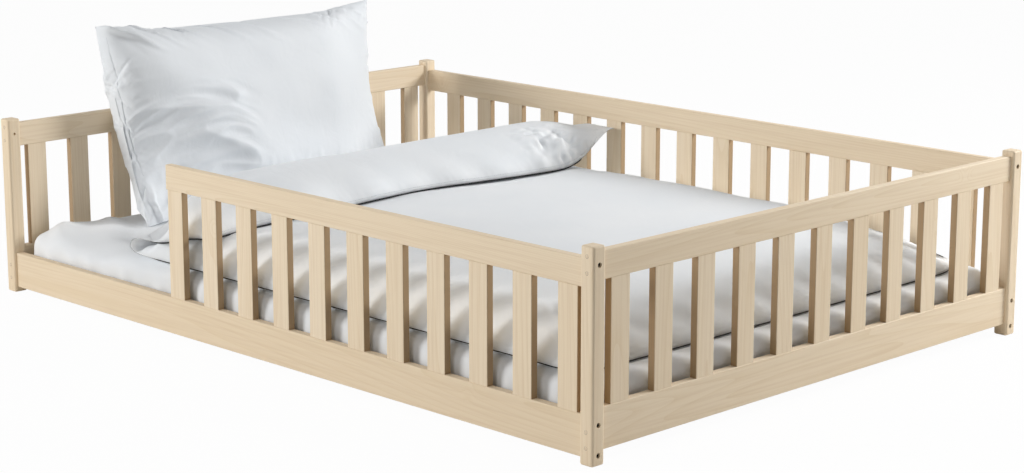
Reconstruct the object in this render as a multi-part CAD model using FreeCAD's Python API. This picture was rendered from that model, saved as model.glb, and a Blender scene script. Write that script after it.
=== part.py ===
# Low slatted pine bed for children, with its mattress and bedding.
# X runs along the bed from head (-X) to foot (+X), the front with its entrance is on -Y, +Z is up.
# The origin is on the floor, under the middle of the bed. Lengths are in millimetres.

import FreeCAD
import Part
import math
import os

# Mattress that the bed is made for, and the room around it
mattress_length = 2000.0
mattress_width = 1400.0
mattress_thickness = 102.0
mattress_corner_radius = 48.0
mattress_edge_radius = 34.0
mattress_gap = 12.0

# Posts
post_side = 36.0
post_height = 450.0
post_edge_radius = 6.0
post_end_radius = 4.5

# Rails. The side rails sit lower than the end rails by one step, so that their bolts pass between the dowels.
rail_thickness = 20.0
bottom_rail_height = 90.0
top_rail_height = 60.0
rail_edge_radius = 2.5
end_rail_lift = 28.0
end_rail_drop = 12.0
side_rail_step = 15.0
entrance_width = 650.0

# Slats and their stub tenons
slat_width = 55.0
slat_thickness = 18.0
slat_edge_radius = 2.0
end_slat_count = 11
back_slat_count = 15
front_slat_count = 11
end_slat_margin = 25.5
back_slat_margin = 78.5
front_slat_margin = 15.0
guard_overhang = 3.0
tenon_length = 10.0
tenon_shoulder = 4.0
tenon_clearance = 0.2
tenon_wood = 3.0

# Dowels through the posts into the end rails
dowel_radius = 4.0
dowel_reach = 45.0
dowel_edge = 9.0
dowel_recess = 0.4
dowel_clearance = 0.15

# Bolts through the posts into the side rails, with a barrel nut each
bolt_radius = 3.0
bolt_reach = 46.0
bolt_head_radius = 5.0
bolt_head_height = 6.0
bolt_socket_width = 5.0
bolt_socket_depth = 3.5
bolt_edge = 9.0
bolt_offset = 15.0
bolt_clearance = 0.3
counterbore_radius = 5.5
counterbore_depth = 10.0
nut_radius = 5.0
nut_length = 16.0
nut_inset = 34.0
nut_clearance = 0.2
nut_recess = 0.6
nut_slot_width = 1.4
nut_slot_depth = 1.8

# Cleats on the side rails, and their screws
cleat_depth = 22.0
cleat_height = 24.0
cleat_rise = 5.0
cleat_end_gap = 60.0
cleat_screw_count = 6
cleat_screw_margin = 90.0
screw_radius = 2.0
screw_head_radius = 4.0
screw_head_height = 2.6
screw_reach = 13.0
screw_clearance = 0.15

# Roll-up slatted base, centre beam and its feet
base_slat_count = 14
base_slat_width = 70.0
base_slat_thickness = 18.0
base_slat_margin = 14.0
base_slat_edge_radius = 3.0
base_side_gap = 12.0
strap_width = 25.0
strap_thickness = 1.5
strap_spread = 900.0
beam_width = 45.0
beam_height = 30.0
beam_edge_radius = 2.0
beam_end_gap = 60.0
foot_count = 3
foot_length = 60.0
foot_margin = 330.0

# Fitted sheet, and the room that soft pieces keep from what they lie on
sheet_thickness = 1.2
soft_clearance = 0.5

# Duvet, folded back at its head end
duvet_foot_gap = 40.0
duvet_head_gap = 440.0
duvet_side_gap = 4.0
duvet_thickness = 103.0
duvet_foot_round = 130.0
flap_length = 290.0
flap_thickness = 85.0
flap_round = 140.0
crease_round = 95.0
crease_undercut = 40.0

# How much of its full size each part of the duvet has, from the front edge to the back edge
duvet_place_shares = (-1.0, -0.98, -0.93, -0.84, -0.66, -0.36, 0.0, 0.36, 0.66, 0.84, 0.93, 0.98, 1.0)
duvet_rise_shares = (0.14, 0.54, 0.79, 0.98, 1.0, 1.0, 1.0, 1.0, 0.99, 0.89, 0.65, 0.40, 0.14)
foot_rise_shares = (1.0, 1.0, 1.0, 1.0, 1.0, 1.0, 1.0, 0.97, 0.84, 0.66, 0.62, 0.66, 0.9)
flap_rise_shares = (0.58, 0.76, 0.90, 0.90, 0.92, 1.0, 0.98, 1.02, 1.09, 1.28, 1.42, 1.66, 1.84)
flap_length_shares = (1.05, 1.05, 1.06, 1.05, 1.01, 0.95, 0.90, 0.98, 1.08, 1.11, 1.11, 1.11, 1.11)
crease_rise_shares = (0.27, 0.40, 0.52, 0.67, 0.89, 0.98, 0.98, 0.99, 1.0, 1.02, 0.95, 0.82, 0.70)

# Pillow: a lens in plan at each height. Its front end leans and slumps forward, its back end only slumps
pillow_width = 948.0
pillow_rise = 492.0
pillow_top_draw = 17.0
pillow_side_draw = 8.0
pillow_front_top_gap = 21.0
pillow_back_top_gap = 9.0
pillow_front_lean = 150.0
pillow_front_slump = 55.0
pillow_back_slump = 110.0
pillow_face_bulge = 115.0
pillow_reverse_bulge = 100.0
pillow_rail_gap = 2.5
pillow_rail_margin = 30.0

# Stations from the pillow's upper edge down to its lower edge, and how much of its bulge it has there
pillow_depth_shares = (0.0, 0.05, 0.12, 0.25, 0.42, 0.60, 0.80, 0.92, 1.0)
pillow_face_shares = (0.04, 0.50, 0.79, 0.92, 1.0, 0.92, 0.78, 0.42, 0.06)
pillow_reverse_shares = (0.04, 0.21, 0.36, 0.49, 0.50, 0.56, 0.74, 0.70, 0.10)

# How far cutting tools run past the faces that they cut
overrun = 5.0

# Worked-out frame sizes
rail_inset = (post_side - rail_thickness) / 2
bed_length = mattress_length + 2 * (mattress_gap + rail_thickness + rail_inset)
bed_width = mattress_width + 2 * (mattress_gap + rail_thickness + rail_inset)
post_x = (bed_length - post_side) / 2
post_y = (bed_width - post_side) / 2
side_clear = bed_length - 2 * post_side
end_clear = bed_width - 2 * post_side
end_bottom_z = end_rail_lift
end_top_z = post_height - end_rail_drop - top_rail_height
side_bottom_z = end_bottom_z - side_rail_step
side_top_z = end_top_z - side_rail_step
guard_length = side_clear - entrance_width

# Worked-out drilling heights. Holes stay clear of the tenons, and dowels and bolts clear of each other.
low_bolt_z = side_bottom_z + bolt_edge
high_bolt_z = side_bottom_z + bottom_rail_height - tenon_length - tenon_wood - nut_radius
under_dowel_z = end_top_z + tenon_length + tenon_wood + dowel_radius
top_dowel_z = end_top_z + top_rail_height - dowel_edge
dowel_heights = (low_bolt_z + bolt_offset, high_bolt_z - bolt_offset, under_dowel_z, top_dowel_z)
bottom_bolt_heights = (low_bolt_z, high_bolt_z)
top_bolt_heights = ((under_dowel_z + top_dowel_z) / 2,)

# Worked-out levels of the lying surface
base_z = side_bottom_z + cleat_rise + cleat_height
mattress_z = base_z + base_slat_thickness
mattress_top_z = mattress_z + mattress_thickness
sheet_top_z = mattress_top_z + soft_clearance + sheet_thickness
bedding_z = sheet_top_z + soft_clearance

AXIS_X = FreeCAD.Vector(1, 0, 0)
AXIS_Y = FreeCAD.Vector(0, 1, 0)
AXIS_Z = FreeCAD.Vector(0, 0, 1)
PARALLEL_SHARE = 0.999


def block(x0, x1, y0, y1, z0, z1):
    return Part.makeBox(x1 - x0, y1 - y0, z1 - z0, FreeCAD.Vector(x0, y0, z0))


def edges_along(shape, axis):
    found = []
    for edge in shape.Edges:
        direction = edge.tangentAt(edge.FirstParameter)
        if abs(direction.dot(axis)) > PARALLEL_SHARE:
            found.append(edge)
    return found


def edges_at_height(shape, z):
    return [edge for edge in shape.Edges if all(abs(v.Z - z) < Part.Precision.confusion() for v in edge.Vertexes)]


def rounded_bar(x0, x1, y0, y1, z0, z1, axis, radius):
    bar = block(x0, x1, y0, y1, z0, z1)
    return bar.makeFillet(radius, edges_along(bar, axis))


def rod(start, direction, radius, length):
    return Part.makeCylinder(radius, length, start, direction)


def group(shapes):
    return Part.makeCompound(shapes)


# Panels are made lying along X, with their middle at zero, and are then put in place

def slat_places(first, last, count):
    pitch = (last - first) / (count - 1)
    return [first + pitch * index for index in range(count)]


def rail(start, end, z, height, slat_centres, mortise_from_top):
    half = rail_thickness / 2
    bar = rounded_bar(start, end, -half, half, z, z + height, AXIS_X, rail_edge_radius)
    half_width = slat_width / 2 - tenon_shoulder + tenon_clearance
    half_thickness = slat_thickness / 2 - tenon_shoulder + tenon_clearance
    depth = tenon_length + tenon_clearance
    if mortise_from_top:
        low, high = z + height - depth, z + height + overrun
    else:
        low, high = z - overrun, z + depth
    mortises = []
    for centre in slat_centres:
        left, right = centre - half_width, centre + half_width
        mortises.append(block(left, right, -half_thickness, half_thickness, low, high))
    return bar.cut(mortises)


def slat(centre, low, high):
    half_width = slat_width / 2
    half = slat_thickness / 2
    board = rounded_bar(centre - half_width, centre + half_width, -half, half, low, high, AXIS_Z, slat_edge_radius)
    tongue_width = half_width - tenon_shoulder
    tongue = half - tenon_shoulder
    tenon = block(
        centre - tongue_width, centre + tongue_width, -tongue, tongue, low - tenon_length, high + tenon_length
    )
    return board.fuse(tenon)


def panel(length, bottom_z, top_z, slat_centres, top_start):
    half = length / 2
    bottom_rail = rail(-half, half, bottom_z, bottom_rail_height, slat_centres, True)
    top_rail = rail(top_start, half, top_z, top_rail_height, slat_centres, False)
    slats = [slat(centre, bottom_z + bottom_rail_height, top_z) for centre in slat_centres]
    return bottom_rail, top_rail, slats


def placed(shape, x, y, quarter_turn):
    moved = shape.copy()
    if quarter_turn:
        moved.rotate(FreeCAD.Vector(), AXIS_Z, 90)
    moved.translate(FreeCAD.Vector(x, y, 0))
    return moved


# Joinery

def bolt_line(end_sign, side_sign, z):
    head_face = FreeCAD.Vector(end_sign * bed_length / 2, side_sign * post_y, z)
    inward = AXIS_X * -end_sign
    return head_face, inward


def post_bolt_hole(end_sign, side_sign, z):
    face, inward = bolt_line(end_sign, side_sign, z)
    start = face - inward * overrun
    shaft = rod(start, inward, bolt_radius + bolt_clearance, post_side + 2 * overrun)
    recess = rod(start, inward, counterbore_radius, counterbore_depth + overrun)
    return shaft.fuse(recess)


def rail_bolt_hole(end_sign, side_sign, z):
    face, inward = bolt_line(end_sign, side_sign, z)
    shaft = rod(face, inward, bolt_radius + bolt_clearance, post_side + bolt_reach + bolt_clearance)
    return shaft.fuse(nut_hole(end_sign, side_sign, z))


def nut_start(end_sign, side_sign, z):
    x = end_sign * (bed_length / 2 - post_side - nut_inset)
    y = side_sign * post_y + rail_thickness / 2
    return FreeCAD.Vector(x, y, z)


# The nuts go in from the rails' +Y faces: the inner face of the front rails and the outer face of the back rails

def nut_hole(end_sign, side_sign, z):
    start = nut_start(end_sign, side_sign, z) + AXIS_Y * overrun
    return rod(start, -AXIS_Y, nut_radius + nut_clearance, nut_recess + nut_length + nut_clearance + overrun)


def barrel_nut(end_sign, side_sign, z):
    start = nut_start(end_sign, side_sign, z) - AXIS_Y * nut_recess
    body = rod(start, -AXIS_Y, nut_radius, nut_length)
    cross_start = FreeCAD.Vector(start.x - nut_radius - overrun, side_sign * post_y, z)
    cross = rod(cross_start, AXIS_X, bolt_radius + bolt_clearance, 2 * (nut_radius + overrun))
    slot = Part.makeBox(
        2 * (nut_radius + overrun),
        2 * nut_slot_depth,
        nut_slot_width,
        FreeCAD.Vector(start.x - nut_radius - overrun, start.y - nut_slot_depth, z - nut_slot_width / 2),
    )
    return body.cut([cross, slot])


def side_bolt(end_sign, side_sign, z):
    face, inward = bolt_line(end_sign, side_sign, z)
    seat = face + inward * counterbore_depth
    head = rod(seat - inward * bolt_head_height, inward, bolt_head_radius, bolt_head_height)
    shaft = rod(seat, inward, bolt_radius, post_side - counterbore_depth + bolt_reach)
    socket_face = seat - inward * bolt_head_height
    corner_radius = bolt_socket_width / math.sqrt(3)
    corners = []
    for corner in range(7):
        turn = math.radians(60 * corner)
        corners.append(socket_face + AXIS_Y * corner_radius * math.cos(turn) + AXIS_Z * corner_radius * math.sin(turn))
    socket = Part.Face(Part.makePolygon(corners)).extrude(inward * bolt_socket_depth)
    return head.fuse(shaft).cut(socket)


def dowel_line(end_sign, side_sign, z):
    start = FreeCAD.Vector(end_sign * post_x, side_sign * bed_width / 2, z)
    return start, AXIS_Y * -side_sign


def dowel_hole(end_sign, side_sign, z):
    start, inward = dowel_line(end_sign, side_sign, z)
    length = overrun + post_side + dowel_reach + dowel_clearance
    return rod(start - inward * overrun, inward, dowel_radius + dowel_clearance, length)


def end_dowel(end_sign, side_sign, z):
    start, inward = dowel_line(end_sign, side_sign, z)
    return rod(start + inward * dowel_recess, inward, dowel_radius, post_side + dowel_reach - dowel_recess)


def post(end_sign, side_sign):
    half = post_side / 2
    x, y = end_sign * post_x, side_sign * post_y
    body = rounded_bar(x - half, x + half, y - half, y + half, 0, post_height, AXIS_Z, post_edge_radius)
    body = body.makeFillet(post_end_radius, edges_at_height(body, post_height) + edges_at_height(body, 0))
    holes = [post_bolt_hole(end_sign, side_sign, z) for z in bottom_bolt_heights + top_bolt_heights]
    holes += [dowel_hole(end_sign, side_sign, z) for z in dowel_heights]
    return body.cut(holes)


# Bed base

def cleat_screw_places():
    reach = side_clear / 2 - cleat_end_gap - cleat_screw_margin
    return slat_places(-reach, reach, cleat_screw_count)


def cleat_screw(x, side_sign, clearance):
    outward = AXIS_Y * side_sign
    z = side_bottom_z + cleat_rise + cleat_height / 2
    inner_face = side_sign * (bed_width / 2 - rail_inset - rail_thickness - cleat_depth)
    start = FreeCAD.Vector(x, inner_face, z)
    head_radius = screw_head_radius + clearance
    radius = screw_radius + clearance
    head = Part.makeCone(head_radius, radius, screw_head_height, start, outward)
    return head.fuse(rod(start, outward, radius, cleat_depth + screw_reach + clearance))


def cleat_screw_holes(side_sign):
    return [cleat_screw(x, side_sign, screw_clearance) for x in cleat_screw_places()]


def cleat(side_sign):
    half = side_clear / 2 - cleat_end_gap
    outer = bed_width / 2 - rail_inset - rail_thickness
    inner = outer - cleat_depth
    low, high = sorted((side_sign * inner, side_sign * outer))
    z = side_bottom_z + cleat_rise
    bar = block(-half, half, low, high, z, z + cleat_height)
    return bar.cut(cleat_screw_holes(side_sign))


def base_slat_places():
    reach = mattress_length / 2 + mattress_gap - base_slat_margin - base_slat_width / 2
    return slat_places(-reach, reach, base_slat_count)


def base_slat(x):
    half_width = base_slat_width / 2
    half_length = mattress_width / 2 + mattress_gap - base_side_gap
    z = base_z + base_slat_thickness
    return rounded_bar(
        x - half_width, x + half_width, -half_length, half_length, base_z, z, AXIS_Y, base_slat_edge_radius
    )


def webbing_strap(side_sign):
    places = base_slat_places()
    y = side_sign * strap_spread / 2
    half = strap_width / 2
    start = places[0] - base_slat_width / 2 + base_slat_edge_radius
    end = places[-1] + base_slat_width / 2 - base_slat_edge_radius
    return block(start, end, y - half, y + half, base_z - strap_thickness, base_z)


def centre_beam():
    half_length = mattress_length / 2 + mattress_gap - beam_end_gap
    half = beam_width / 2
    return rounded_bar(-half_length, half_length, -half, half, base_z - beam_height, base_z, AXIS_X, beam_edge_radius)


def beam_foot(x):
    half_length = foot_length / 2
    half = beam_width / 2 - beam_edge_radius
    return block(x - half_length, x + half_length, -half, half, 0, base_z - beam_height)


def beam_foot_places():
    reach = mattress_length / 2 - foot_margin
    return slat_places(-reach, reach, foot_count)


# Bedding

def rounded_block(growth, z0, z1, round_bottom):
    half_x = mattress_length / 2 + growth
    half_y = mattress_width / 2 + growth
    body = rounded_bar(-half_x, half_x, -half_y, half_y, z0, z1, AXIS_Z, mattress_corner_radius + growth)
    edges = edges_at_height(body, z1)
    if round_bottom:
        edges += edges_at_height(body, z0)
    return body.makeFillet(mattress_edge_radius + growth, edges)


def mattress():
    return rounded_block(0, mattress_z, mattress_top_z, True)


def fitted_sheet():
    outside = rounded_block(soft_clearance + sheet_thickness, mattress_z, sheet_top_z, False)
    inside = rounded_block(soft_clearance, mattress_z - overrun, mattress_top_z + soft_clearance, False)
    return outside.cut(inside)


def arc(start, middle, end):
    return Part.Arc(start, middle, end).toShape()


def line(start, end):
    return Part.LineSegment(start, end).toShape()


def duvet_section(place_share, rise_share, foot_share, flap_share, length_share, crease_share):
    y = (mattress_width / 2 - duvet_side_gap) * place_share
    low = bedding_z + duvet_thickness * rise_share
    foot_low = bedding_z + duvet_thickness * rise_share * foot_share
    high = low + flap_thickness * flap_share
    foot_x = mattress_length / 2 - duvet_foot_gap
    crease_x = -mattress_length / 2 + duvet_head_gap
    edge_x = crease_x + flap_length * length_share
    crease_high = bedding_z + (duvet_thickness + flap_thickness) * crease_share
    half_high = (bedding_z + crease_high) / 2
    bend_share = 1 - math.sqrt(0.5)

    def at(x, z):
        return FreeCAD.Vector(x, y, z)

    foot_hem = at(foot_x, bedding_z)
    foot_bend = at(foot_x - duvet_foot_round * bend_share, foot_low - (foot_low - bedding_z) * bend_share)
    foot_top = at(foot_x - duvet_foot_round, foot_low)
    flap_hem = at(edge_x, low)
    flap_bend = at(edge_x - flap_round * bend_share, high - (high - low) * bend_share)
    flap_top = at(edge_x - flap_round, high)
    crease_top = at(crease_x + crease_round, crease_high)
    crease_bend = at(crease_x + crease_round * bend_share, crease_high - (crease_high - half_high) * bend_share)
    crease = at(crease_x, half_high)
    under_bend = at(crease_x + crease_undercut * bend_share, bedding_z + (half_high - bedding_z) * bend_share)
    under = at(crease_x + crease_undercut, bedding_z)
    return Part.Wire(
        [
            line(under, foot_hem),
            arc(foot_hem, foot_bend, foot_top),
            line(foot_top, flap_hem),
            arc(flap_hem, flap_bend, flap_top),
            line(flap_top, crease_top),
            arc(crease_top, crease_bend, crease),
            arc(crease, under_bend, under),
        ]
    )


def duvet():
    stations = zip(
        duvet_place_shares,
        duvet_rise_shares,
        foot_rise_shares,
        flap_rise_shares,
        flap_length_shares,
        crease_rise_shares,
    )
    return Part.makeLoft([duvet_section(*shares) for shares in stations], True, False)


def pillow_reverse_x(middle_x, tilt, bulge_share, touches_rail):
    """Where the pillow's reverse stands furthest back, which is on the rail below the rail's top."""
    free_x = middle_x - pillow_reverse_bulge * bulge_share
    if not touches_rail:
        return free_x
    rail_x = -bed_length / 2 + rail_inset + rail_thickness + pillow_rail_gap
    sagitta = middle_x - rail_x
    radius = ((pillow_width / 2) ** 2 + sagitta ** 2) / (2 * sagitta)
    return max(free_x, rail_x + radius * (1 - math.cos(tilt)))


def pillow_section(depth_share, face_share, reverse_share):
    upper_x = -bed_length / 2 + rail_inset + rail_thickness
    front_x = upper_x + pillow_front_top_gap + pillow_front_lean * depth_share + pillow_front_slump * depth_share ** 3
    back_x = upper_x + pillow_back_top_gap + pillow_back_slump * depth_share ** 3
    z = bedding_z + pillow_rise * (1 - depth_share)
    reach = pillow_width / 2 - pillow_side_draw * 4 * depth_share * (1 - depth_share)
    middle_x = (front_x + back_x) / 2
    tilt = math.atan((front_x - back_x) / pillow_width)
    touches_rail = z < end_top_z + top_rail_height + pillow_rail_margin
    reverse_x = pillow_reverse_x(middle_x, tilt, reverse_share, touches_rail)
    front_end = FreeCAD.Vector(front_x, -reach, z)
    back_end = FreeCAD.Vector(back_x, reach, z)
    face = FreeCAD.Vector(middle_x + pillow_face_bulge * face_share, 0, z)
    reverse = FreeCAD.Vector(reverse_x, 0, z)
    return Part.Wire([arc(front_end, face, back_end), arc(back_end, reverse, front_end)])


def pillow():
    stations = zip(pillow_depth_shares, pillow_face_shares, pillow_reverse_shares)
    body = Part.makeLoft([pillow_section(*shares) for shares in stations], True, False)
    half_width = pillow_width / 2
    draw_radius = (half_width ** 2 + pillow_top_draw ** 2) / (2 * pillow_top_draw)
    reach = pillow_face_bulge + pillow_reverse_bulge
    centre = FreeCAD.Vector(-bed_length / 2 - reach, 0, bedding_z + pillow_rise - pillow_top_draw + draw_radius)
    return body.cut(rod(centre, AXIS_X, draw_radius, 2 * reach))


# Whole bed

def end_panel_nodes(name, end_sign):
    reach = end_clear / 2 - end_slat_margin - slat_width / 2
    centres = slat_places(-reach, reach, end_slat_count)
    bottom_rail, top_rail, slats = panel(end_clear, end_bottom_z, end_top_z, centres, -end_clear / 2)
    x = end_sign * post_x
    bottom_holes = [dowel_hole(end_sign, side, z) for side in (-1, 1) for z in dowel_heights[:2]]
    top_holes = [dowel_hole(end_sign, side, z) for side in (-1, 1) for z in dowel_heights[2:]]
    nodes = {
        name + "_bottom_rail": placed(bottom_rail, x, 0, True).cut(bottom_holes),
        name + "_top_rail": placed(top_rail, x, 0, True).cut(top_holes),
    }
    for index, one_slat in enumerate(slats):
        nodes["%s_slat_%02d" % (name, index + 1)] = placed(one_slat, x, 0, True)
    return nodes


def back_panel_nodes():
    reach = side_clear / 2 - back_slat_margin - slat_width / 2
    centres = slat_places(-reach, reach, back_slat_count)
    bottom_rail, top_rail, slats = panel(side_clear, side_bottom_z, side_top_z, centres, -side_clear / 2)
    bottom_holes = [rail_bolt_hole(end, 1, z) for end in (-1, 1) for z in bottom_bolt_heights]
    top_holes = [rail_bolt_hole(end, 1, z) for end in (-1, 1) for z in top_bolt_heights]
    return {
        "back_bottom_rail": placed(bottom_rail, 0, post_y, False).cut(bottom_holes + cleat_screw_holes(1)),
        "back_top_rail": placed(top_rail, 0, post_y, False).cut(top_holes),
        "back_slats": placed(group(slats), 0, post_y, False),
    }


def front_panel_nodes():
    guard_start = side_clear / 2 - guard_length
    first = guard_start + guard_overhang + slat_width / 2
    last = side_clear / 2 - front_slat_margin - slat_width / 2
    centres = slat_places(first, last, front_slat_count)
    bottom_rail, guard_rail, slats = panel(side_clear, side_bottom_z, side_top_z, centres, guard_start)
    bottom_holes = [rail_bolt_hole(end, -1, z) for end in (-1, 1) for z in bottom_bolt_heights]
    guard_holes = [rail_bolt_hole(1, -1, z) for z in top_bolt_heights]
    nodes = {
        "front_bottom_rail": placed(bottom_rail, 0, -post_y, False).cut(bottom_holes + cleat_screw_holes(-1)),
        "front_guard_rail": placed(guard_rail, 0, -post_y, False).cut(guard_holes),
    }
    for index, one_slat in enumerate(slats):
        nodes["front_slat_%02d" % (index + 1)] = placed(one_slat, 0, -post_y, False)
    return nodes


def joinery_nodes():
    bolted = [(end, side, z) for end in (-1, 1) for side in (-1, 1) for z in bottom_bolt_heights]
    bolted += [(end, side, z) for end, side in ((1, -1), (1, 1), (-1, 1)) for z in top_bolt_heights]
    doweled = [(end, side, z) for end in (-1, 1) for side in (-1, 1) for z in dowel_heights]
    screwed = [(x, side) for side in (-1, 1) for x in cleat_screw_places()]
    return {
        "side_bolts": group([side_bolt(*place) for place in bolted]),
        "barrel_nuts": group([barrel_nut(*place) for place in bolted]),
        "end_dowels": group([end_dowel(*place) for place in doweled]),
        "cleat_screws": group([cleat_screw(x, side, 0) for x, side in screwed]),
    }


def base_nodes():
    return {
        "front_cleat": cleat(-1),
        "back_cleat": cleat(1),
        "base_slats": group([base_slat(x) for x in base_slat_places()]),
        "webbing_straps": group([webbing_strap(side) for side in (-1, 1)]),
        "centre_beam": centre_beam(),
        "beam_feet": group([beam_foot(x) for x in beam_foot_places()]),
    }


def bed_nodes():
    nodes = {
        "post_head_front": post(-1, -1),
        "post_head_back": post(-1, 1),
        "post_foot_front": post(1, -1),
        "post_foot_back": post(1, 1),
    }
    nodes.update(end_panel_nodes("head", -1))
    nodes.update(end_panel_nodes("foot", 1))
    nodes.update(back_panel_nodes())
    nodes.update(front_panel_nodes())
    nodes.update(joinery_nodes())
    nodes.update(base_nodes())
    nodes["mattress"] = mattress()
    nodes["fitted_sheet"] = fitted_sheet()
    nodes["duvet"] = duvet()
    nodes["pillow"] = pillow()
    return nodes


os.makedirs("parts", exist_ok=True)
for node_name, shape in bed_nodes().items():
    shape.exportStep("parts/%s.step" % node_name)
    print(node_name, len(shape.Solids), "solids", round(shape.Volume), "mm3", "valid", shape.isValid())
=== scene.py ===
# %% [markdown]
# # A low slatted pine bed for children, dressed for the night
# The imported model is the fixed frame: posts, rails, slats, bolts and dowels are already the right
# shape and stay where they are. They only need their finish. Everything soft (mattress, fitted
# sheet, duvet and pillow) is modelled here and stands in for its plain solid.

# %% Load the frame and keep its box
import math

import bpy
import numpy as np
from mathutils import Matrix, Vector


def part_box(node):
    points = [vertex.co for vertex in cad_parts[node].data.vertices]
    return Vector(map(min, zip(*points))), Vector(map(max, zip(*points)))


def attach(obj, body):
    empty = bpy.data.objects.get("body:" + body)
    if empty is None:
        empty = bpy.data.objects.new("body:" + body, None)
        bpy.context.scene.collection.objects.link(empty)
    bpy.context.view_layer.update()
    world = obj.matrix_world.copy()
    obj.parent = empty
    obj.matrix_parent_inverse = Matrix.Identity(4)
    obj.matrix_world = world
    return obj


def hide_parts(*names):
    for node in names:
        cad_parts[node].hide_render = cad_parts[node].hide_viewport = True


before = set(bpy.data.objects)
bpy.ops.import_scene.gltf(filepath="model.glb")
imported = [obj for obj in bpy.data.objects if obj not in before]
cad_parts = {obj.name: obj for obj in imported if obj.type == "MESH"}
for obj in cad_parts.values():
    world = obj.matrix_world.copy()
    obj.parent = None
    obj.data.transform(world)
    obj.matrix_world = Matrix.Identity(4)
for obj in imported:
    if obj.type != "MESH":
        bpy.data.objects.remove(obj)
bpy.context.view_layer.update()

scene = bpy.context.scene
scene.view_settings.view_transform = "Standard"
mm = 0.001

# %% [markdown]
# ## Helpers for materials
# Colours are written as sRGB hex values, the way a paint card gives them, and turned to the linear
# light that the shader works in. One small function adds a node, sets it and links it, so that a
# material reads as a short list of steps.

# %% Colour and node helpers
def linear(hex_colour):
    """A linear RGBA colour from an sRGB hex value."""
    parts = [int(hex_colour[i:i + 2], 16) / 255 for i in (1, 3, 5)]
    return [c / 12.92 if c <= 0.04045 else ((c + 0.055) / 1.055) ** 2.4 for c in parts] + [1.0]


def set_inputs(tree, node, inputs):
    """Links or sets a node's inputs, which go by name or by number. A node stands for its first output."""
    for name, value in inputs.items():
        if isinstance(value, bpy.types.Node):
            value = value.outputs[0]
        if isinstance(value, bpy.types.NodeSocket):
            tree.links.new(value, node.inputs[name])
        else:
            node.inputs[name].default_value = value


def add(tree, kind, inputs=None, **settings):
    """Adds a node with its settings, and links or sets its inputs."""
    made = tree.nodes.new(kind)
    for name, value in settings.items():
        setattr(made, name, value)
    set_inputs(tree, made, inputs or {})
    return made


def new_material(name):
    """An empty material, its node tree and its Principled shader."""
    material = bpy.data.materials.new(name)
    material.use_nodes = True
    tree = material.node_tree
    return material, tree, tree.nodes["Principled BSDF"]


# %% [markdown]
# ## Camera
# The photograph was taken from the foot end, a little to the front side, from standing height with
# a short telephoto. The camera stands at that place and looks at that angle, with no lens shift, so
# that other views keep the bed in the middle of the picture.

# %% Camera
camera_place = Vector((4.168, -4.060, 1.4917))
camera_heading = 2.3613
camera_pitch = -0.2200
lens_pixels = 2402.0
picture_width = 1024.0

camera_data = bpy.data.cameras.new("camera")
camera_data.sensor_width = 36.0
camera_data.lens = lens_pixels / picture_width * camera_data.sensor_width
camera = bpy.data.objects.new("camera", camera_data)
scene.collection.objects.link(camera)
camera.location = camera_place
camera_forward = Vector((
    math.cos(camera_heading) * math.cos(camera_pitch),
    math.sin(camera_heading) * math.cos(camera_pitch),
    math.sin(camera_pitch),
))
camera.rotation_euler = camera_forward.to_track_quat("-Z", "Y").to_euler()
scene.camera = camera
print("lens", round(camera_data.lens, 1), "mm")

# %% [markdown]
# ## Studio
# A plain white sweep: the floor and the world are white where the camera looks straight at them.
# The floor is mostly plain white to the camera and a little lit, so it stays white and still takes
# the bed's soft shadow. Two large lamps face each other across the bed, as in the photograph: a key
# behind the foot end on the far side and a second one at the head end on the near side. Two weak
# ones, at the front and overhead, open the shadows a little. The world itself gives little light, so
# that edges that face the camera fall dark between the two large lamps.

# %% Floor, world and lamps
floor_reach = 40.0
floor_white_share = 0.97
world_level = 0.12


def seen_directly(tree):
    """Is 1 for what the camera sees straight, in a gloss or through glass, and 0 for other light."""
    path = add(tree, "ShaderNodeLightPath")
    straight = {0: path.outputs["Is Camera Ray"], 1: path.outputs["Is Glossy Ray"]}
    mirrored = add(tree, "ShaderNodeMath", straight, operation="MAXIMUM")
    through = {0: mirrored, 1: path.outputs["Is Transmission Ray"]}
    return add(tree, "ShaderNodeMath", through, operation="MAXIMUM")


floor_material, tree, shader = new_material("studio_floor_white")
set_inputs(tree, shader, {"Base Color": linear("#F2F2F0"), "Roughness": 0.9})
share = add(tree, "ShaderNodeMath", {0: seen_directly(tree), 1: floor_white_share}, operation="MULTIPLY")
white = add(tree, "ShaderNodeEmission", {"Color": (1, 1, 1, 1), "Strength": 1.0})
mixed = add(tree, "ShaderNodeMixShader", {0: share, 1: shader, 2: white})
set_inputs(tree, tree.nodes["Material Output"], {"Surface": mixed})

floor_mesh = bpy.data.meshes.new("studio_floor")
floor_corners = [(floor_reach * x, floor_reach * y, 0) for x, y in ((-1, -1), (1, -1), (1, 1), (-1, 1))]
floor_mesh.from_pydata(floor_corners, [], [(0, 1, 2, 3)])
floor_mesh.materials.append(floor_material)
floor = bpy.data.objects.new("studio_floor", floor_mesh)
scene.collection.objects.link(floor)

world = bpy.data.worlds.new("studio_world")
scene.world = world
world.use_nodes = True
tree = world.node_tree
level = add(tree, "ShaderNodeMapRange", {"Value": seen_directly(tree), "To Min": world_level, "To Max": 1.0})
set_inputs(tree, tree.nodes["Background"], {"Color": (1, 1, 1, 1), "Strength": level})


def area_lamp(name, place, target_z, size, watts):
    """A square soft white lamp at a place, facing a height over the bed's middle."""
    data = bpy.data.lights.new(name, "AREA")
    data.size = size
    data.energy = watts
    lamp = bpy.data.objects.new(name, data)
    lamp.location = place
    lamp.rotation_euler = (Vector((0.0, 0.0, target_z)) - Vector(place)).to_track_quat("-Z", "Y").to_euler()
    scene.collection.objects.link(lamp)


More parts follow.
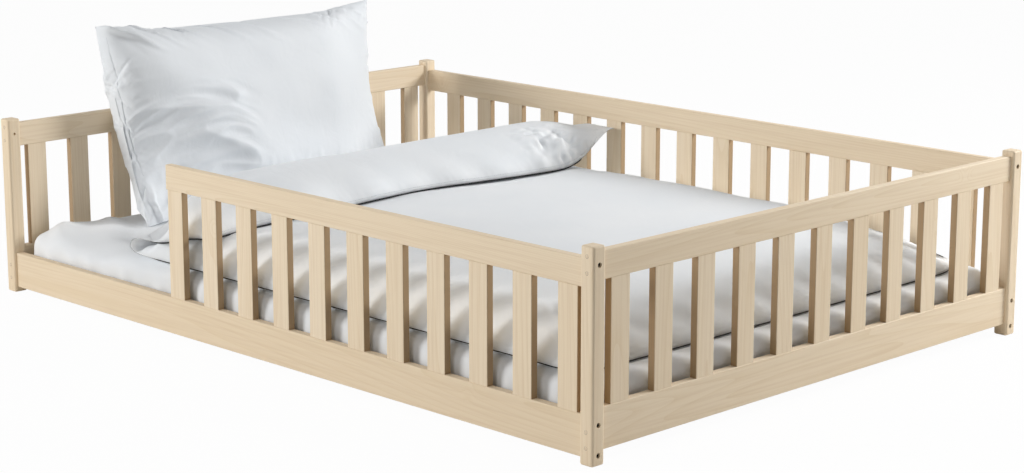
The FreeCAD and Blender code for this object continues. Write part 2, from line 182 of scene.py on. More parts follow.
area_lamp("key_lamp", (2.6, 3.8, 2.4), target_z=0.3, size=1.5, watts=202.0)
area_lamp("side_lamp", (-3.6, -6.0, 2.4), target_z=0.3, size=2.4, watts=250.0)
area_lamp("front_lamp", (0.8, -4.4, 1.3), target_z=0.2, size=1.2, watts=15.0)
area_lamp("top_lamp", (0.2, 0.2, 3.4), target_z=0.2, size=1.8, watts=20.0)
print("studio ready, world level", world_level)

# %% [markdown]
# ## Pine
# The frame is planed, sanded solid pine with a thin clear matt finish. What the eye gets from that
# is a pale honey colour, growth rings that run along each bar as thin darker lines, short brown
# fibre streaks, slow changes of tone from board to board and a few small knots. A photograph
# wrapped round each bar would do it, but rings that are worked out in the solid run through the
# wood as they do in a tree, so faces and edges agree. Each bar's rings follow its own length.

# %% Pine material
# Real rings are 2 to 4 mm wide and fibres far finer. Both are drawn as coarse as they need to be to show.
ring_width = 7.5 * mm
fibre_width = 6.4 * mm
knot_spacing = 190 * mm
tone_size = 130 * mm


def pine(name, run, edge=None, early="#F2E0C5", late="#DEC59E", deep="#B38852", edge_shade="#8F6B38"):
    """Sanded pine with its grain along one axis. Faces that turn to the edge axis get a darker painted shade.
    """
    material, tree, shader = new_material(name)
    coords = add(tree, "ShaderNodeTexCoord")
    place = add(tree, "ShaderNodeSeparateXYZ", {0: coords.outputs["Object"]})
    order = {"X": "XYZ", "Y": "YZX", "Z": "ZXY"}[run]
    along, across, through = (place.outputs[letter] for letter in order)
    slow = add(tree, "ShaderNodeMath", {0: along, 1: 0.05}, operation="MULTIPLY")
    grain = add(tree, "ShaderNodeCombineXYZ", {0: slow, 1: across, 2: through})

    tone = add(tree, "ShaderNodeTexNoise", {"Vector": grain, "Scale": 1 / tone_size, "Detail": 1.0})
    shifted = add(tree, "ShaderNodeVectorMath", {0: tone.outputs["Color"], 1: (0.5, 0.5, 0.5)},
                  operation="SUBTRACT")
    wander = add(tree, "ShaderNodeVectorMath", {0: shifted, 3: 0.22}, operation="SCALE")
    bent = add(tree, "ShaderNodeVectorMath", {0: grain, 1: wander}, operation="ADD")
    from_pith = add(tree, "ShaderNodeVectorMath", {0: bent, 1: (0.0, 1.0, 1.0)}, operation="MULTIPLY")
    radius = add(tree, "ShaderNodeVectorMath", {0: from_pith}, operation="LENGTH")

    knots = add(tree, "ShaderNodeTexVoronoi", {"Vector": coords.outputs["Object"], "Scale": 1 / knot_spacing})
    knot_swell = add(tree, "ShaderNodeMapRange",
                     {"Value": knots, "From Min": 0.0, "From Max": 0.19, "To Min": 2.4, "To Max": 0.0},
                     interpolation_type="SMOOTHERSTEP")
    knot_core = add(tree, "ShaderNodeMapRange",
                    {"Value": knots, "From Min": 0.022, "From Max": 0.052, "To Min": 1.0, "To Max": 0.0},
                    interpolation_type="SMOOTHSTEP")

    rings = add(tree, "ShaderNodeMath", {0: radius.outputs["Value"], 1: ring_width}, operation="DIVIDE")
    ring_count = add(tree, "ShaderNodeMath", {0: rings, 1: knot_swell}, operation="ADD")
    ring_phase = add(tree, "ShaderNodeMath", {0: ring_count}, operation="FRACT")
    late_wood = add(tree, "ShaderNodeMath", {0: ring_phase, 1: 3.0}, operation="POWER")

    fibre_place = add(tree, "ShaderNodeVectorMath", {0: grain, 1: (0.5, 1.0, 1.0)}, operation="MULTIPLY")
    fibres = add(tree, "ShaderNodeTexNoise", {"Vector": fibre_place, "Scale": 1 / fibre_width, "Detail": 4.0})
    board = add(tree, "ShaderNodeTexNoise", {"Vector": grain, "Scale": 0.6 / tone_size, "Detail": 2.0})

    ring_share = add(tree, "ShaderNodeMath", {0: late_wood, 1: 0.34}, operation="MULTIPLY")
    ringed = add(tree, "ShaderNodeMix", {0: ring_share, 6: linear(early), 7: linear(late)}, data_type="RGBA")
    board_share = add(tree, "ShaderNodeMapRange",
                      {"Value": board, "From Min": 0.35, "From Max": 0.75, "To Min": 0.0, "To Max": 0.32})
    toned = add(tree, "ShaderNodeMix",
                {0: board_share, 6: ringed.outputs[2], 7: linear(late)}, data_type="RGBA")
    fibre_share = add(tree, "ShaderNodeMapRange",
                      {"Value": fibres, "From Min": 0.45, "From Max": 0.8, "To Min": 0.0, "To Max": 0.18})
    streaked = add(tree, "ShaderNodeMix",
                   {0: fibre_share, 6: toned.outputs[2], 7: linear(deep)}, data_type="RGBA")
    knotted = add(tree, "ShaderNodeMix",
                  {0: knot_core, 6: streaked.outputs[2], 7: linear("#A87A4A")}, data_type="RGBA")
    colour = knotted.outputs[2]
    # Painted shade: faces turned to this axis are darkened, for the shade in the gaps between slats
    if edge:
        facing = add(tree, "ShaderNodeSeparateXYZ", {0: coords.outputs["Normal"]})
        side = add(tree, "ShaderNodeMath", {0: facing.outputs[edge]}, operation="ABSOLUTE")
        edge_shade_share = add(tree, "ShaderNodeMapRange",
                         {"Value": side, "From Min": 0.55, "From Max": 0.95, "To Min": 0.0, "To Max": 0.75})
        edge_shaded = add(tree, "ShaderNodeMix",
                    {0: edge_shade_share, 6: colour, 7: linear(edge_shade)}, data_type="RGBA")
        colour = edge_shaded.outputs[2]
    rough = add(tree, "ShaderNodeMapRange", {"Value": fibres, "To Min": 0.48, "To Max": 0.66})
    height = add(tree, "ShaderNodeMath", {0: fibres, 1: late_wood}, operation="ADD")
    bump = add(tree, "ShaderNodeBump", {"Height": height, "Strength": 0.12, "Distance": 0.4 * mm})
    finish = {"Base Color": colour, "Roughness": rough, "Specular IOR Level": 0.45, "Normal": bump}
    set_inputs(tree, shader, finish)
    return material


# %% [markdown]
# ## Beech dowels and zinc-plated steel
# The dowels are turned beech, a shade paler and pinker than the pine, and they show as small discs
# of end grain. The barrel nuts and screws are zinc-plated steel: a cool grey metal with a soft,
# slightly uneven gloss. The bolts are painted near-black as shade, so they look like dark holes in
# the posts. A thin brown ring is painted as shadow where a dowel comes out of its post.

# %% Dowel and bolt materials
def beech():
    """Turned beech, seen at its end grain: short dark flecks on a pale ground."""
    material, tree, shader = new_material("beech_dowel_turned")
    coords = add(tree, "ShaderNodeTexCoord")
    flecks = add(tree, "ShaderNodeTexNoise",
                 {"Vector": coords.outputs["Object"], "Scale": 1 / (1.2 * mm), "Detail": 3.0})
    share = add(tree, "ShaderNodeMapRange",
                {"Value": flecks, "From Min": 0.4, "From Max": 0.8, "To Max": 0.6})
    mixed = add(tree, "ShaderNodeMix",
                {0: share, 6: linear("#E9D6BC"), 7: linear("#C9A679")}, data_type="RGBA")
    set_inputs(tree, shader, {"Base Color": mixed.outputs[2], "Roughness": 0.6})
    return material


def dowel_shadow_ring():
    """A painted shadow: a dark brown line of uneven tone, with a soft gloss, for the shade round a dowel end.
    """
    material, tree, shader = new_material("dowel_ring_painted_shadow")
    coords = add(tree, "ShaderNodeTexCoord")
    blotches = add(tree, "ShaderNodeTexNoise", {"Vector": coords.outputs["Object"], "Scale": 1 / (2 * mm)})
    mixed = add(tree, "ShaderNodeMix",
                {0: blotches, 6: linear("#6E5334"), 7: linear("#3F2D1A")}, data_type="RGBA")
    set_inputs(tree, shader, {"Base Color": mixed.outputs[2], "Roughness": 0.55})
    return material


def steel(name, bright, dull):
    """Plated steel, or steel painted dark as the shade of a bolt hole: metallic, with a crystalline, uneven
    gloss.
    """
    material, tree, shader = new_material(name)
    coords = add(tree, "ShaderNodeTexCoord")
    spangle = add(tree, "ShaderNodeTexVoronoi", {"Vector": coords.outputs["Object"], "Scale": 1 / (1.5 * mm)})
    mixed = add(tree, "ShaderNodeMix", {0: spangle, 6: linear(bright), 7: linear(dull)}, data_type="RGBA")
    rough = add(tree, "ShaderNodeMapRange", {"Value": spangle, "To Min": 0.28, "To Max": 0.45})
    set_inputs(tree, shader, {"Base Color": mixed.outputs[2], "Roughness": rough, "Metallic": 1.0})
    return material


# %% [markdown]
# ## Which finish goes where
# A bar's name says how it lies: slats and posts stand, end rails run across the bed and side rails
# along it. The slats' narrow edges, which face across the gaps, get a painted shade a tone darker.

# %% Finish the wooden frame and its fittings
pine_posts = pine("pine_post_sanded", "Z")
pine_side_slats = pine("pine_side_slat_shaded_edges", "Z", edge="X")
pine_end_slats = pine("pine_end_slat_shaded_edges", "Z", edge="Y")
pine_side_rails = pine("pine_side_rail_sanded", "X")
pine_end_rails = pine("pine_end_rail_sanded", "Y")
pine_base = pine("pine_base_slat_planed", "Y", early="#E4CFAE", late="#CFAF82")
pine_beam = pine("pine_beam_planed", "X", early="#E4CFAE", late="#CFAF82")
beech_dowels = beech()
plated_steel = steel("steel_zinc_plated", "#B9BDC1", "#8F959B")
# Near-black steel: painted shade, so the bolt heads read as the dark of their holes
hole_shade_steel = steel("steel_painted_hole_shade", "#4A443D", "#2C2824")

# A node takes the first finish whose words its name starts with
finishes = (
    ("post_", pine_posts),
    (("head_slat", "foot_slat"), pine_end_slats),
    (("front_slat", "back_slats"), pine_side_slats),
    (("head_", "foot_"), pine_end_rails),
    ("base_slats", pine_base),
    (("centre_beam", "beam_feet"), pine_beam),
    ("end_dowels", beech_dowels),
    ("side_bolts", hole_shade_steel),
    (("barrel_nuts", "cleat_screws"), plated_steel),
    ("", pine_side_rails),
)
soft_nodes = ("mattress", "fitted_sheet", "duvet", "pillow", "webbing_straps")
finished = 0
for node_name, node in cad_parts.items():
    if node_name not in soft_nodes:
        finish = next(material for words, material in finishes if node_name.startswith(words))
        for material_slot in node.material_slots:
            material_slot.material = finish
        finished += 1
print("finished", finished, "rigid nodes")

# %% [markdown]
# ## How the bedding is sewn and filled
# A duvet and a pillow are each two panels of cotton sewn together along their border and stuffed.
# That is also how they are made here: two grids of points that share their border, filled by a
# cloth simulation whose pressure swells the panels. The seams draw in and pucker by themselves,
# which is hard to fake with a smooth shape. A vertex group holds what lies on something else.

# %% Sewing and filling helpers
def piece_of(name, points, faces, material):
    """A smooth mesh object of one material, at the origin."""
    mesh = bpy.data.meshes.new(name)
    mesh.from_pydata(np.asarray(points).tolist(), [], np.asarray(faces).tolist())
    mesh.polygons.foreach_set("use_smooth", [True] * len(mesh.polygons))
    mesh.materials.append(material)
    piece = bpy.data.objects.new(name, mesh)
    scene.collection.objects.link(piece)
    return piece


def points_of(mesh):
    """The mesh's points as an array."""
    points = np.zeros(len(mesh.vertices) * 3, np.float32)
    mesh.vertices.foreach_get("co", points)
    return points.reshape(-1, 3).astype(float)


def sewn(face, reverse):
    """Two panels sewn along their border: points, quads, and each panel's point numbers."""
    rows, columns = face.shape[:2]
    face_numbers = np.arange(rows * columns).reshape(rows, columns)
    reverse_numbers = face_numbers.copy()
    inner = (rows - 2, columns - 2)
    reverse_numbers[1:-1, 1:-1] = rows * columns + np.arange(inner[0] * inner[1]).reshape(inner)
    points = np.vstack([face.reshape(-1, 3), reverse[1:-1, 1:-1].reshape(-1, 3)])
    quads = []
    for numbers, step in ((face_numbers, 1), (reverse_numbers, -1)):
        corners = (numbers[:-1, :-1], numbers[1:, :-1], numbers[1:, 1:], numbers[:-1, 1:])
        quads.append(np.stack(corners, -1).reshape(-1, 4)[:, ::step])
    return points, np.vstack(quads), face_numbers, reverse_numbers


def weigh(piece, name, weights):
    """Writes a weight for each point into a vertex group."""
    group = piece.vertex_groups.new(name=name)
    rounded = np.round(weights, 2)
    for weight in np.unique(rounded):
        group.add(np.flatnonzero(rounded == weight).tolist(), float(weight), "REPLACE")
    return name


def fill(piece, pressure, frames, held=None, loose=None, slack=0.0, stiffness=15.0, bending=0.5):
    """Swells a piece by cloth pressure. Held points stay, loose ones have spare cloth. Returns the points."""
    cloth = piece.modifiers.new("filling", "CLOTH")
    cloth.settings.quality = 5
    cloth.settings.mass = 0.3
    cloth.settings.tension_stiffness = stiffness
    cloth.settings.compression_stiffness = stiffness
    cloth.settings.shear_stiffness = stiffness / 3
    cloth.settings.bending_stiffness = bending
    cloth.settings.use_pressure = True
    cloth.settings.uniform_pressure_force = pressure
    cloth.settings.shrink_min = 0.0
    cloth.settings.shrink_max = -slack
    cloth.settings.effector_weights.gravity = 0
    if held is not None:
        cloth.settings.vertex_group_mass = weigh(piece, "held", held)
    if loose is not None:
        cloth.settings.vertex_group_shrink = weigh(piece, "loose", loose)
    cloth.collision_settings.use_collision = False
    cloth.collision_settings.use_self_collision = False
    cloth.point_cache.frame_start = 1
    cloth.point_cache.frame_end = frames
    for number in range(1, frames + 1):
        scene.frame_set(number)
    swollen = points_of(piece.evaluated_get(bpy.context.evaluated_depsgraph_get()).data)
    scene.frame_set(1)
    bpy.data.objects.remove(piece)
    return swollen


def finer(grid, row_places, column_places):
    """A grid read at other places between its rows and columns, along smooth curves through its points."""
    for axis, places in ((0, row_places), (1, column_places)):
        last = grid.shape[axis] - 1
        cell = np.clip(np.asarray(places).astype(int), 0, last - 1)
        t = (places - cell).reshape([-1 if k == axis else 1 for k in range(3)])
        a, b, c, d = (np.take(grid, np.clip(cell + k, 0, last), axis) for k in (-1, 0, 1, 2))
        grid = b + 0.5 * t * (c - a + t * (2 * a - 5 * b + 4 * c - d + t * (3 * (b - c) + d - a)))
    return grid


def facing(grid):
    """The direction that each point of a panel faces."""
    normal = np.cross(np.gradient(grid, axis=0), np.gradient(grid, axis=1))
    return normal / np.maximum(np.linalg.norm(normal, axis=-1, keepdims=True), 1e-12)


def ease(x):
    """Goes from 0 to 1 with level ends as x goes from 0 to 1."""
    x = np.clip(x, 0.0, 1.0)
    return x * x * (3 - 2 * x)


def dome(x):
    """Rises from 0 as a quarter circle and is 1 from x = 1 on."""
    x = np.clip(x, 0.0, 1.0)
    return np.sqrt(1 - (1 - x) ** 2)


def ripples(places, size, seed):
    """A soft random height between about -1 and 1, with waves of about that size."""
    random = np.random.default_rng(seed)
    places = np.asarray(places, float)
    height = np.zeros(places.shape[:-1])
    waves = 14
    for _ in range(waves):
        direction = random.normal(size=places.shape[-1])
        direction *= 2 * math.pi / size * random.uniform(0.6, 1.5) / np.linalg.norm(direction)
        height += np.sin(places @ direction + random.uniform(0, 2 * math.pi))
    return height / math.sqrt(waves / 2) / 1.6


# %% [markdown]
# ## What repeats
# Stitches and dowel ends are one small shape set again and again along a line or on points. A
# Geometry Nodes group does that, with its sizes as named inputs. What it makes is turned into a
# plain mesh at once.

# %% Node group helpers
def node_group(name, sizes):
    """An empty Geometry Nodes group with named sizes as inputs: its tree, its input and its output node."""
    tree = bpy.data.node_groups.new(name, "GeometryNodeTree")
    tree.interface.new_socket("Geometry", in_out="INPUT", socket_type="NodeSocketGeometry")
    tree.interface.new_socket("Geometry", in_out="OUTPUT", socket_type="NodeSocketGeometry")
    for size in sizes:
        tree.interface.new_socket(size, in_out="INPUT", socket_type="NodeSocketFloat")
    return tree, tree.nodes.new("NodeGroupInput"), tree.nodes.new("NodeGroupOutput")


def grown(name, tree, sizes, points, edges=()):
    """Runs a node group on points, or on lines between them, and keeps the result as a plain mesh."""
    mesh = bpy.data.meshes.new(name + "_path")
    mesh.from_pydata(np.asarray(points).tolist(), list(edges), [])
    piece = bpy.data.objects.new(name, mesh)
    scene.collection.objects.link(piece)
    modifier = piece.modifiers.new(name, "NODES")
    modifier.node_group = tree
    for socket in tree.interface.items_tree:
        if socket.in_out == "INPUT" and socket.name in sizes:
            modifier[socket.identifier] = sizes[socket.name]
    ready = piece.evaluated_get(bpy.context.evaluated_depsgraph_get())
    made = bpy.data.meshes.new_from_object(ready)
    made.polygons.foreach_set("use_smooth", [True] * len(made.polygons))
    piece.modifiers.remove(modifier)
    piece.data = made
    return piece


# %% [markdown]
# ## Dowel ends
# A dowel is cut off just proud of its post and sanded round. Its end shows as a small pale button in
# a dark ring of painted shadow, which stands for the shade in the gap about the button.

# %% Dowel ends
dowel_radius = 4 * mm
tree, sizes, result = node_group("dowel_ends", ("Button Radius", "Button Height", "Shadow Ring Width"))
button_radius = sizes.outputs["Button Radius"]
ball = add(tree, "GeometryNodeMeshUVSphere", {"Segments": 24, "Rings": 12, "Radius": button_radius})
height_share = add(tree, "ShaderNodeMath", {0: sizes.outputs["Button Height"], 1: button_radius},
                   operation="DIVIDE")
flattening = add(tree, "ShaderNodeCombineXYZ", {0: 1.0, 1: height_share, 2: 1.0})
button = add(tree, "GeometryNodeTransform", {"Geometry": ball.outputs["Mesh"], "Scale": flattening})
shadow_ring_radius = add(tree, "ShaderNodeMath", {0: sizes.outputs["Shadow Ring Width"], 1: 0.5}, operation="MULTIPLY")
circle = add(tree, "GeometryNodeCurvePrimitiveCircle", {"Resolution": 32, "Radius": button_radius})
bead = add(tree, "GeometryNodeCurvePrimitiveCircle", {"Resolution": 8, "Radius": shadow_ring_radius})
ring = add(tree, "GeometryNodeCurveToMesh", {"Curve": circle, "Profile Curve": bead})
upright = add(tree, "GeometryNodeTransform", {"Geometry": ring, "Rotation": (math.pi / 2, 0.0, 0.0)})
both = add(tree, "GeometryNodeJoinGeometry")
# The ring round each button is painted shadow, for the shade in the gap about the dowel end
for shape, material in ((button, beech_dowels), (upright, dowel_shadow_ring())):
    placed = add(tree, "GeometryNodeInstanceOnPoints",
                 {"Points": sizes.outputs["Geometry"], "Instance": shape})
    real = add(tree, "GeometryNodeRealizeInstances", {"Geometry": placed})
    covered = add(tree, "GeometryNodeSetMaterial", {"Geometry": real, "Material": material})
    set_inputs(tree, both, {0: covered})
set_inputs(tree, result, {0: both})

dowel_points = points_of(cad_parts["end_dowels"].data)
dowel_end_y = np.abs(dowel_points[:, 1]).max()
rim_points = dowel_points[np.abs(dowel_points[:, 1]) > dowel_end_y - 0.1 * mm]
dowel_ends = []
while len(rim_points):
    same = np.linalg.norm(rim_points - rim_points[0], axis=1) < 2.1 * dowel_radius
    dowel_ends.append((rim_points[same].min(0) + rim_points[same].max(0)) / 2)
    rim_points = rim_points[~same]
button_sizes = {"Button Radius": dowel_radius, "Button Height": 1.1 * mm, "Shadow Ring Width": 0.9 * mm}
dowel_buttons = grown("dowel_buttons", tree, button_sizes, dowel_ends)
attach(dowel_buttons, "frame")
print("dowel ends", len(dowel_ends))

# %% [markdown]
# ## White cotton
# The bedding is bleached percale: a tight, matt weave that looks almost smooth from two metres, a
# slightly cool white with a faint bloom of loose fibre at grazing angles. Threads are about 0.3 mm
# apart, too fine for the picture, so the weave is drawn at about 13 mm, and the small crinkles of
# ironed cotton are a soft bump of a few centimetres.

# %% Cotton material
# Length of one band of the wave texture at a scale of 1
wave_length = math.pi / 10
glow_depth = 30 * mm


def cotton(name, colour, shade, weave_pitch, crinkle_size, crinkle_height, glow=0.0):
    """Plain-woven cotton: matt, with a fine weave and soft crinkles. Over white filling it glows a little."""
    material, tree, shader = new_material(name)
    place = add(tree, "ShaderNodeTexCoord").outputs["Object"]
    bands = {"Vector": place, "Scale": wave_length / weave_pitch, "Distortion": 0.6}
    warp, weft = (add(tree, "ShaderNodeTexWave", bands, bands_direction=axis) for axis in "XY")
    weave = add(tree, "ShaderNodeMath", {0: warp.outputs["Fac"], 1: weft.outputs["Fac"]}, operation="ADD")
    crinkle = add(tree, "ShaderNodeTexNoise",
                  {"Vector": place, "Scale": 1 / crinkle_size, "Detail": 3.0, "Distortion": 0.8})
    cloud = add(tree, "ShaderNodeTexNoise", {"Vector": place, "Scale": 1 / (6 * crinkle_size), "Detail": 2.0})
    share = add(tree, "ShaderNodeMapRange", {"Value": cloud, "From Min": 0.3, "From Max": 0.7})
    mixed = add(tree, "ShaderNodeMix", {0: share, 6: linear(colour), 7: linear(shade)}, data_type="RGBA")
    rough = add(tree, "ShaderNodeMapRange", {"Value": weave, "To Min": 0.86, "To Max": 0.74, "From Max": 2.0})
    folds = add(tree, "ShaderNodeBump", {"Height": crinkle, "Strength": 0.5, "Distance": crinkle_height})
    threads = add(tree, "ShaderNodeBump",
                  {"Height": weave, "Strength": 0.15, "Distance": 0.15 * mm, "Normal": folds})
    set_inputs(tree, shader, {
        "Base Color": mixed.outputs[2], "Roughness": rough, "Normal": threads, "Specular IOR Level": 0.25,
        "Sheen Weight": 0.12, "Sheen Roughness": 0.5,
        "Subsurface Weight": glow, "Subsurface Radius": (1.0, 1.0, 1.0), "Subsurface Scale": glow_depth})
    return material


bedding_cotton = cotton("cotton_percale_bleached", "#EDF0F3", "#E8ECF0", 12.57 * mm, 45 * mm, 3 * mm)
duvet_cotton = cotton("cotton_percale_over_down", "#EFF2F5", "#EAEEF2", 12.57 * mm, 45 * mm, 3 * mm, glow=0.6)
sheet_cotton = cotton("cotton_jersey_sheet", "#F1F3F5", "#EBEEF1", 15.08 * mm, 38 * mm, 3 * mm)

# %% [markdown]
# ## Mattress and fitted sheet
# Under the bedding lies a foam mattress in striped ticking, and over it a fitted sheet that is drawn
# down its sides and tucked under. Both follow one outline, a rectangle with round corners, so both
# are a stack of loops of that outline, from below upwards. A cube with a bevel would be quicker, but
# loops let the side gather between its corners and the edge go soft where nothing lies on it.

# %% Loops round the mattress
mattress_low, mattress_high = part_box("mattress")
sheet_low, sheet_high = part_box("fitted_sheet")
corner_round = 48 * mm
long_count = 220
short_half_count = 76
corner_count = 14


def outline_shares():
    """For each point of a loop: its share of the half length and half width, and its outward direction."""
    short = (np.arange(short_half_count) + 0.5) / short_half_count
    turn = np.linspace(0, math.pi / 2, corner_count)
    upper = [(1, t, 1, 0) for t in short]
    upper += [(1, 1, math.cos(a), math.sin(a)) for a in turn]
    upper += [(1 - 2 * t, 1, 0, 1) for t in (np.arange(long_count) + 0.5) / long_count]
    upper += [(-1, 1, -math.sin(a), math.cos(a)) for a in turn]
    upper += [(-1, t, -1, 0) for t in short[::-1]]
    upper = np.array(upper)
    return np.vstack([upper, upper[::-1] * (1, -1, 1, -1)])


loop_shares = outline_shares()
outward = loop_shares[:, 2:]


def loop(half, inset, z):
    """A loop of points at an inset and a height, which may differ from point to point."""
    inset = np.broadcast_to(inset, len(loop_shares))[:, None]
    radius = np.minimum(corner_round, 0.9 * (half[1] - inset))
    level = loop_shares[:, :2] * (np.array(half) - inset - radius) + radius * outward
    return np.column_stack([level, np.broadcast_to(z, len(level))])


def stacked(loops, closed_low):
    """Points and quads of a stack of loops, closed at its top and, if asked, below."""
    count = len(loops[0])
    here = np.arange(count)
    after = np.roll(here, -1)
    band = np.stack([here, after, after + count, here + count], -1)
    quads = [band + count * level for level in range(len(loops) - 1)]
    half = np.arange(count // 2 - 1)
    lid = np.stack([half, half + 1, count - 2 - half, count - 1 - half], -1)
    quads.append(lid + count * (len(loops) - 1))
    if closed_low:
        quads.append(lid[:, ::-1])
    return np.vstack(loops), np.vstack(quads)


sheet_half = (sheet_high.x, sheet_high.y)
outer_loop = loop(sheet_half, 0.0, 0.0)
steps = np.linalg.norm(np.diff(outer_loop, axis=0, append=outer_loop[:1]), axis=1)
along_loop = np.cumsum(steps) - steps
print("loop of", len(outer_loop), "points,", round(float(steps.sum()), 2), "m round")

# %% [markdown]
# ## Ticking, webbing
# Ticking is a tight cotton twill with narrow woven stripes. The webbing that ties the base slats
# together is a coarse cotton tape with a raised herringbone. Both are matt.

# %% Ticking and webbing materials
def ticking():
    """Striped cotton twill: cream, with grey-blue stripes 48 mm apart and ribs drawn about 7 mm apart."""
    material, tree, shader = new_material("cotton_twill_ticking")
    place = add(tree, "ShaderNodeTexCoord").outputs["Object"]
    stripe = add(tree, "ShaderNodeTexWave", {"Vector": place, "Scale": wave_length / (48 * mm)},
                 bands_direction="Y")
    rib = add(tree, "ShaderNodeTexWave", {"Vector": place, "Scale": wave_length / (6 * mm)},
              bands_direction="DIAGONAL")
    share = add(tree, "ShaderNodeMapRange",
                {"Value": stripe.outputs["Fac"], "From Min": 0.82, "From Max": 0.9})
    mixed = add(tree, "ShaderNodeMix",
                {0: share, 6: linear("#E8E4DA"), 7: linear("#8F9BAA")}, data_type="RGBA")
    rough = add(tree, "ShaderNodeMapRange", {"Value": rib.outputs["Fac"], "To Min": 0.9, "To Max": 0.78})
    ribs = add(tree, "ShaderNodeBump", {"Height": rib.outputs["Fac"], "Strength": 0.4, "Distance": 0.3 * mm})
    finish = {"Base Color": mixed.outputs[2], "Roughness": rough, "Specular IOR Level": 0.25, "Normal": ribs}
    set_inputs(tree, shader, finish)
    return material


def webbing():
    """Woven cotton tape: undyed, with a herringbone whose teeth are drawn 8 mm apart."""
    material, tree, shader = new_material("cotton_tape_woven")
    place = add(tree, "ShaderNodeTexCoord").outputs["Object"]
    across = add(tree, "ShaderNodeTexWave", {"Vector": place, "Scale": wave_length / (16 * mm)},
                 bands_direction="Y", wave_profile="TRI")
    shift = add(tree, "ShaderNodeMath", {0: across.outputs["Fac"], 1: 4 * mm}, operation="MULTIPLY")
    aslant = add(tree, "ShaderNodeCombineXYZ", {0: shift})
    moved = add(tree, "ShaderNodeVectorMath", {0: place, 1: aslant}, operation="ADD")
    waves = add(tree, "ShaderNodeTexWave", {"Vector": moved, "Scale": wave_length / (8 * mm)},
                bands_direction="X")
    teeth = waves.outputs["Fac"]
    mixed = add(tree, "ShaderNodeMix",
                {0: teeth, 6: linear("#D9CFBA"), 7: linear("#B7AA8F")}, data_type="RGBA")
    rough = add(tree, "ShaderNodeMapRange", {"Value": teeth, "To Min": 0.92, "To Max": 0.8})
    relief = add(tree, "ShaderNodeBump", {"Height": teeth, "Strength": 0.5, "Distance": 0.4 * mm})
    set_inputs(tree, shader, {"Base Color": mixed.outputs[2], "Roughness": rough, "Normal": relief})
    return material


# %% Mattress: a foam block with piped edges
head_share = ease((-0.54 - outer_loop[:, 0]) / 0.16)
edge_reach = (34 + 44 * head_share) * mm
edge_drop = (34 + 16 * head_share) * mm
corner_swell = 11 * mm
under_cloth = 2.2 * mm
head_sink = 9 * mm
welt_radius = 2.5 * mm
mattress_half = (sheet_high.x - under_cloth, sheet_high.y - under_cloth)
mattress_top_z = sheet_high.z - under_cloth
mattress_bottom_z = mattress_low.z + 1.8 * mm
bottom_round = 20 * mm


def welt_bump(place):
    """How far the piped edge stands out beside its seam, for a distance along the side from the seam."""
    return welt_radius * 0.6 * math.exp(-(place / welt_radius) ** 2)


def swelled(points):
    """Raises the free corners at the head end, which nothing presses down."""
    from_corner = np.hypot(points[:, 0] - mattress_low.x, np.abs(points[:, 1]) - mattress_high.y)
    above = ease((points[:, 2] - mattress_low.z - 40 * mm) / (60 * mm))
    moved = points.copy()
    moved[:, 2] += corner_swell * above * (1 - ease((from_corner - 0.10) / 0.20))
    return moved


loops = []
for share in np.linspace(0.97, 0.05, 12):
    loops.append(loop(mattress_half, mattress_half[1] * share, mattress_bottom_z))
for angle in np.linspace(0.1, 0.5, 6) * math.pi:
    rise_z = mattress_bottom_z + bottom_round * (1 - math.cos(angle))
    loops.append(loop(mattress_half, bottom_round * (1 - math.sin(angle)) + under_cloth, rise_z))
side_low = mattress_bottom_z + bottom_round
for share in np.linspace(0, 1, 25):
    side_z = side_low + (mattress_top_z - edge_drop - side_low) * share
    bump = welt_bump((share - 0.06) * 40 * mm)
    loops.append(loop(mattress_half, under_cloth - bump, side_z))
for angle in np.linspace(0.06, 0.5, 9) * math.pi:
    inset = edge_reach * (1 - math.cos(angle)) + under_cloth
    edge_z = mattress_top_z - head_sink * head_share - edge_drop * (1 - math.sin(angle))
    loops.append(loop(mattress_half, inset, edge_z))
for share in np.linspace(0.04, 1, 14):
    inset = edge_reach + under_cloth + (mattress_half[1] * 0.97 - edge_reach - under_cloth) * share
    loops.append(loop(mattress_half, inset, mattress_top_z))
    loops[-1][:, 2] -= head_sink * ease((-0.54 - loops[-1][:, 0]) / 0.1)
points, quads = stacked([swelled(points) for points in loops], closed_low=True)
mattress = piece_of("mattress_foam", points, quads, ticking())
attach(mattress, "mattress")
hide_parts("mattress")
print("mattress", len(points), "points")

# %% Fitted sheet: drawn over the mattress, gathered at its sides, tucked under
tuck_depth = 60 * mm
cloth_thickness = 1.0 * mm
sheet_bottom_z = mattress_low.z + 0.3 * mm
gather_pitch = 78 * mm
gather_depth = 7.5 * mm
crease_fan_height = 4.0 * mm
crease_ripple_height = 2.2 * mm
gather_phase = 2.2 * ripples(along_loop[:, None], 0.5, 11)
gather_wave = 0.5 + 0.5 * np.sin(2 * math.pi * along_loop / gather_pitch + gather_phase)
at_corner = ease(1.5 * np.abs(loop_shares[:, 2] * loop_shares[:, 3]) ** 0.5)


def gathered(points):
    """Pushes a loop of the sheet's side outwards in uneven gathers that fade towards the top edge."""
    fade = ease((sheet_high.z - 12 * mm - points[:, 2]) / (60 * mm))
    fade = fade * ease((points[:, 2] - sheet_bottom_z) / (8 * mm))
    uneven = 0.62 + 0.38 * ripples(points * (1, 1, 2.2), 0.11, 5)
    depth = gather_depth * fade * gather_wave * np.clip(uneven, 0.1, 1) * (1 - 0.35 * at_corner)
    moved = points.copy()
    moved[:, :2] += depth[:, None] * outward
    return moved


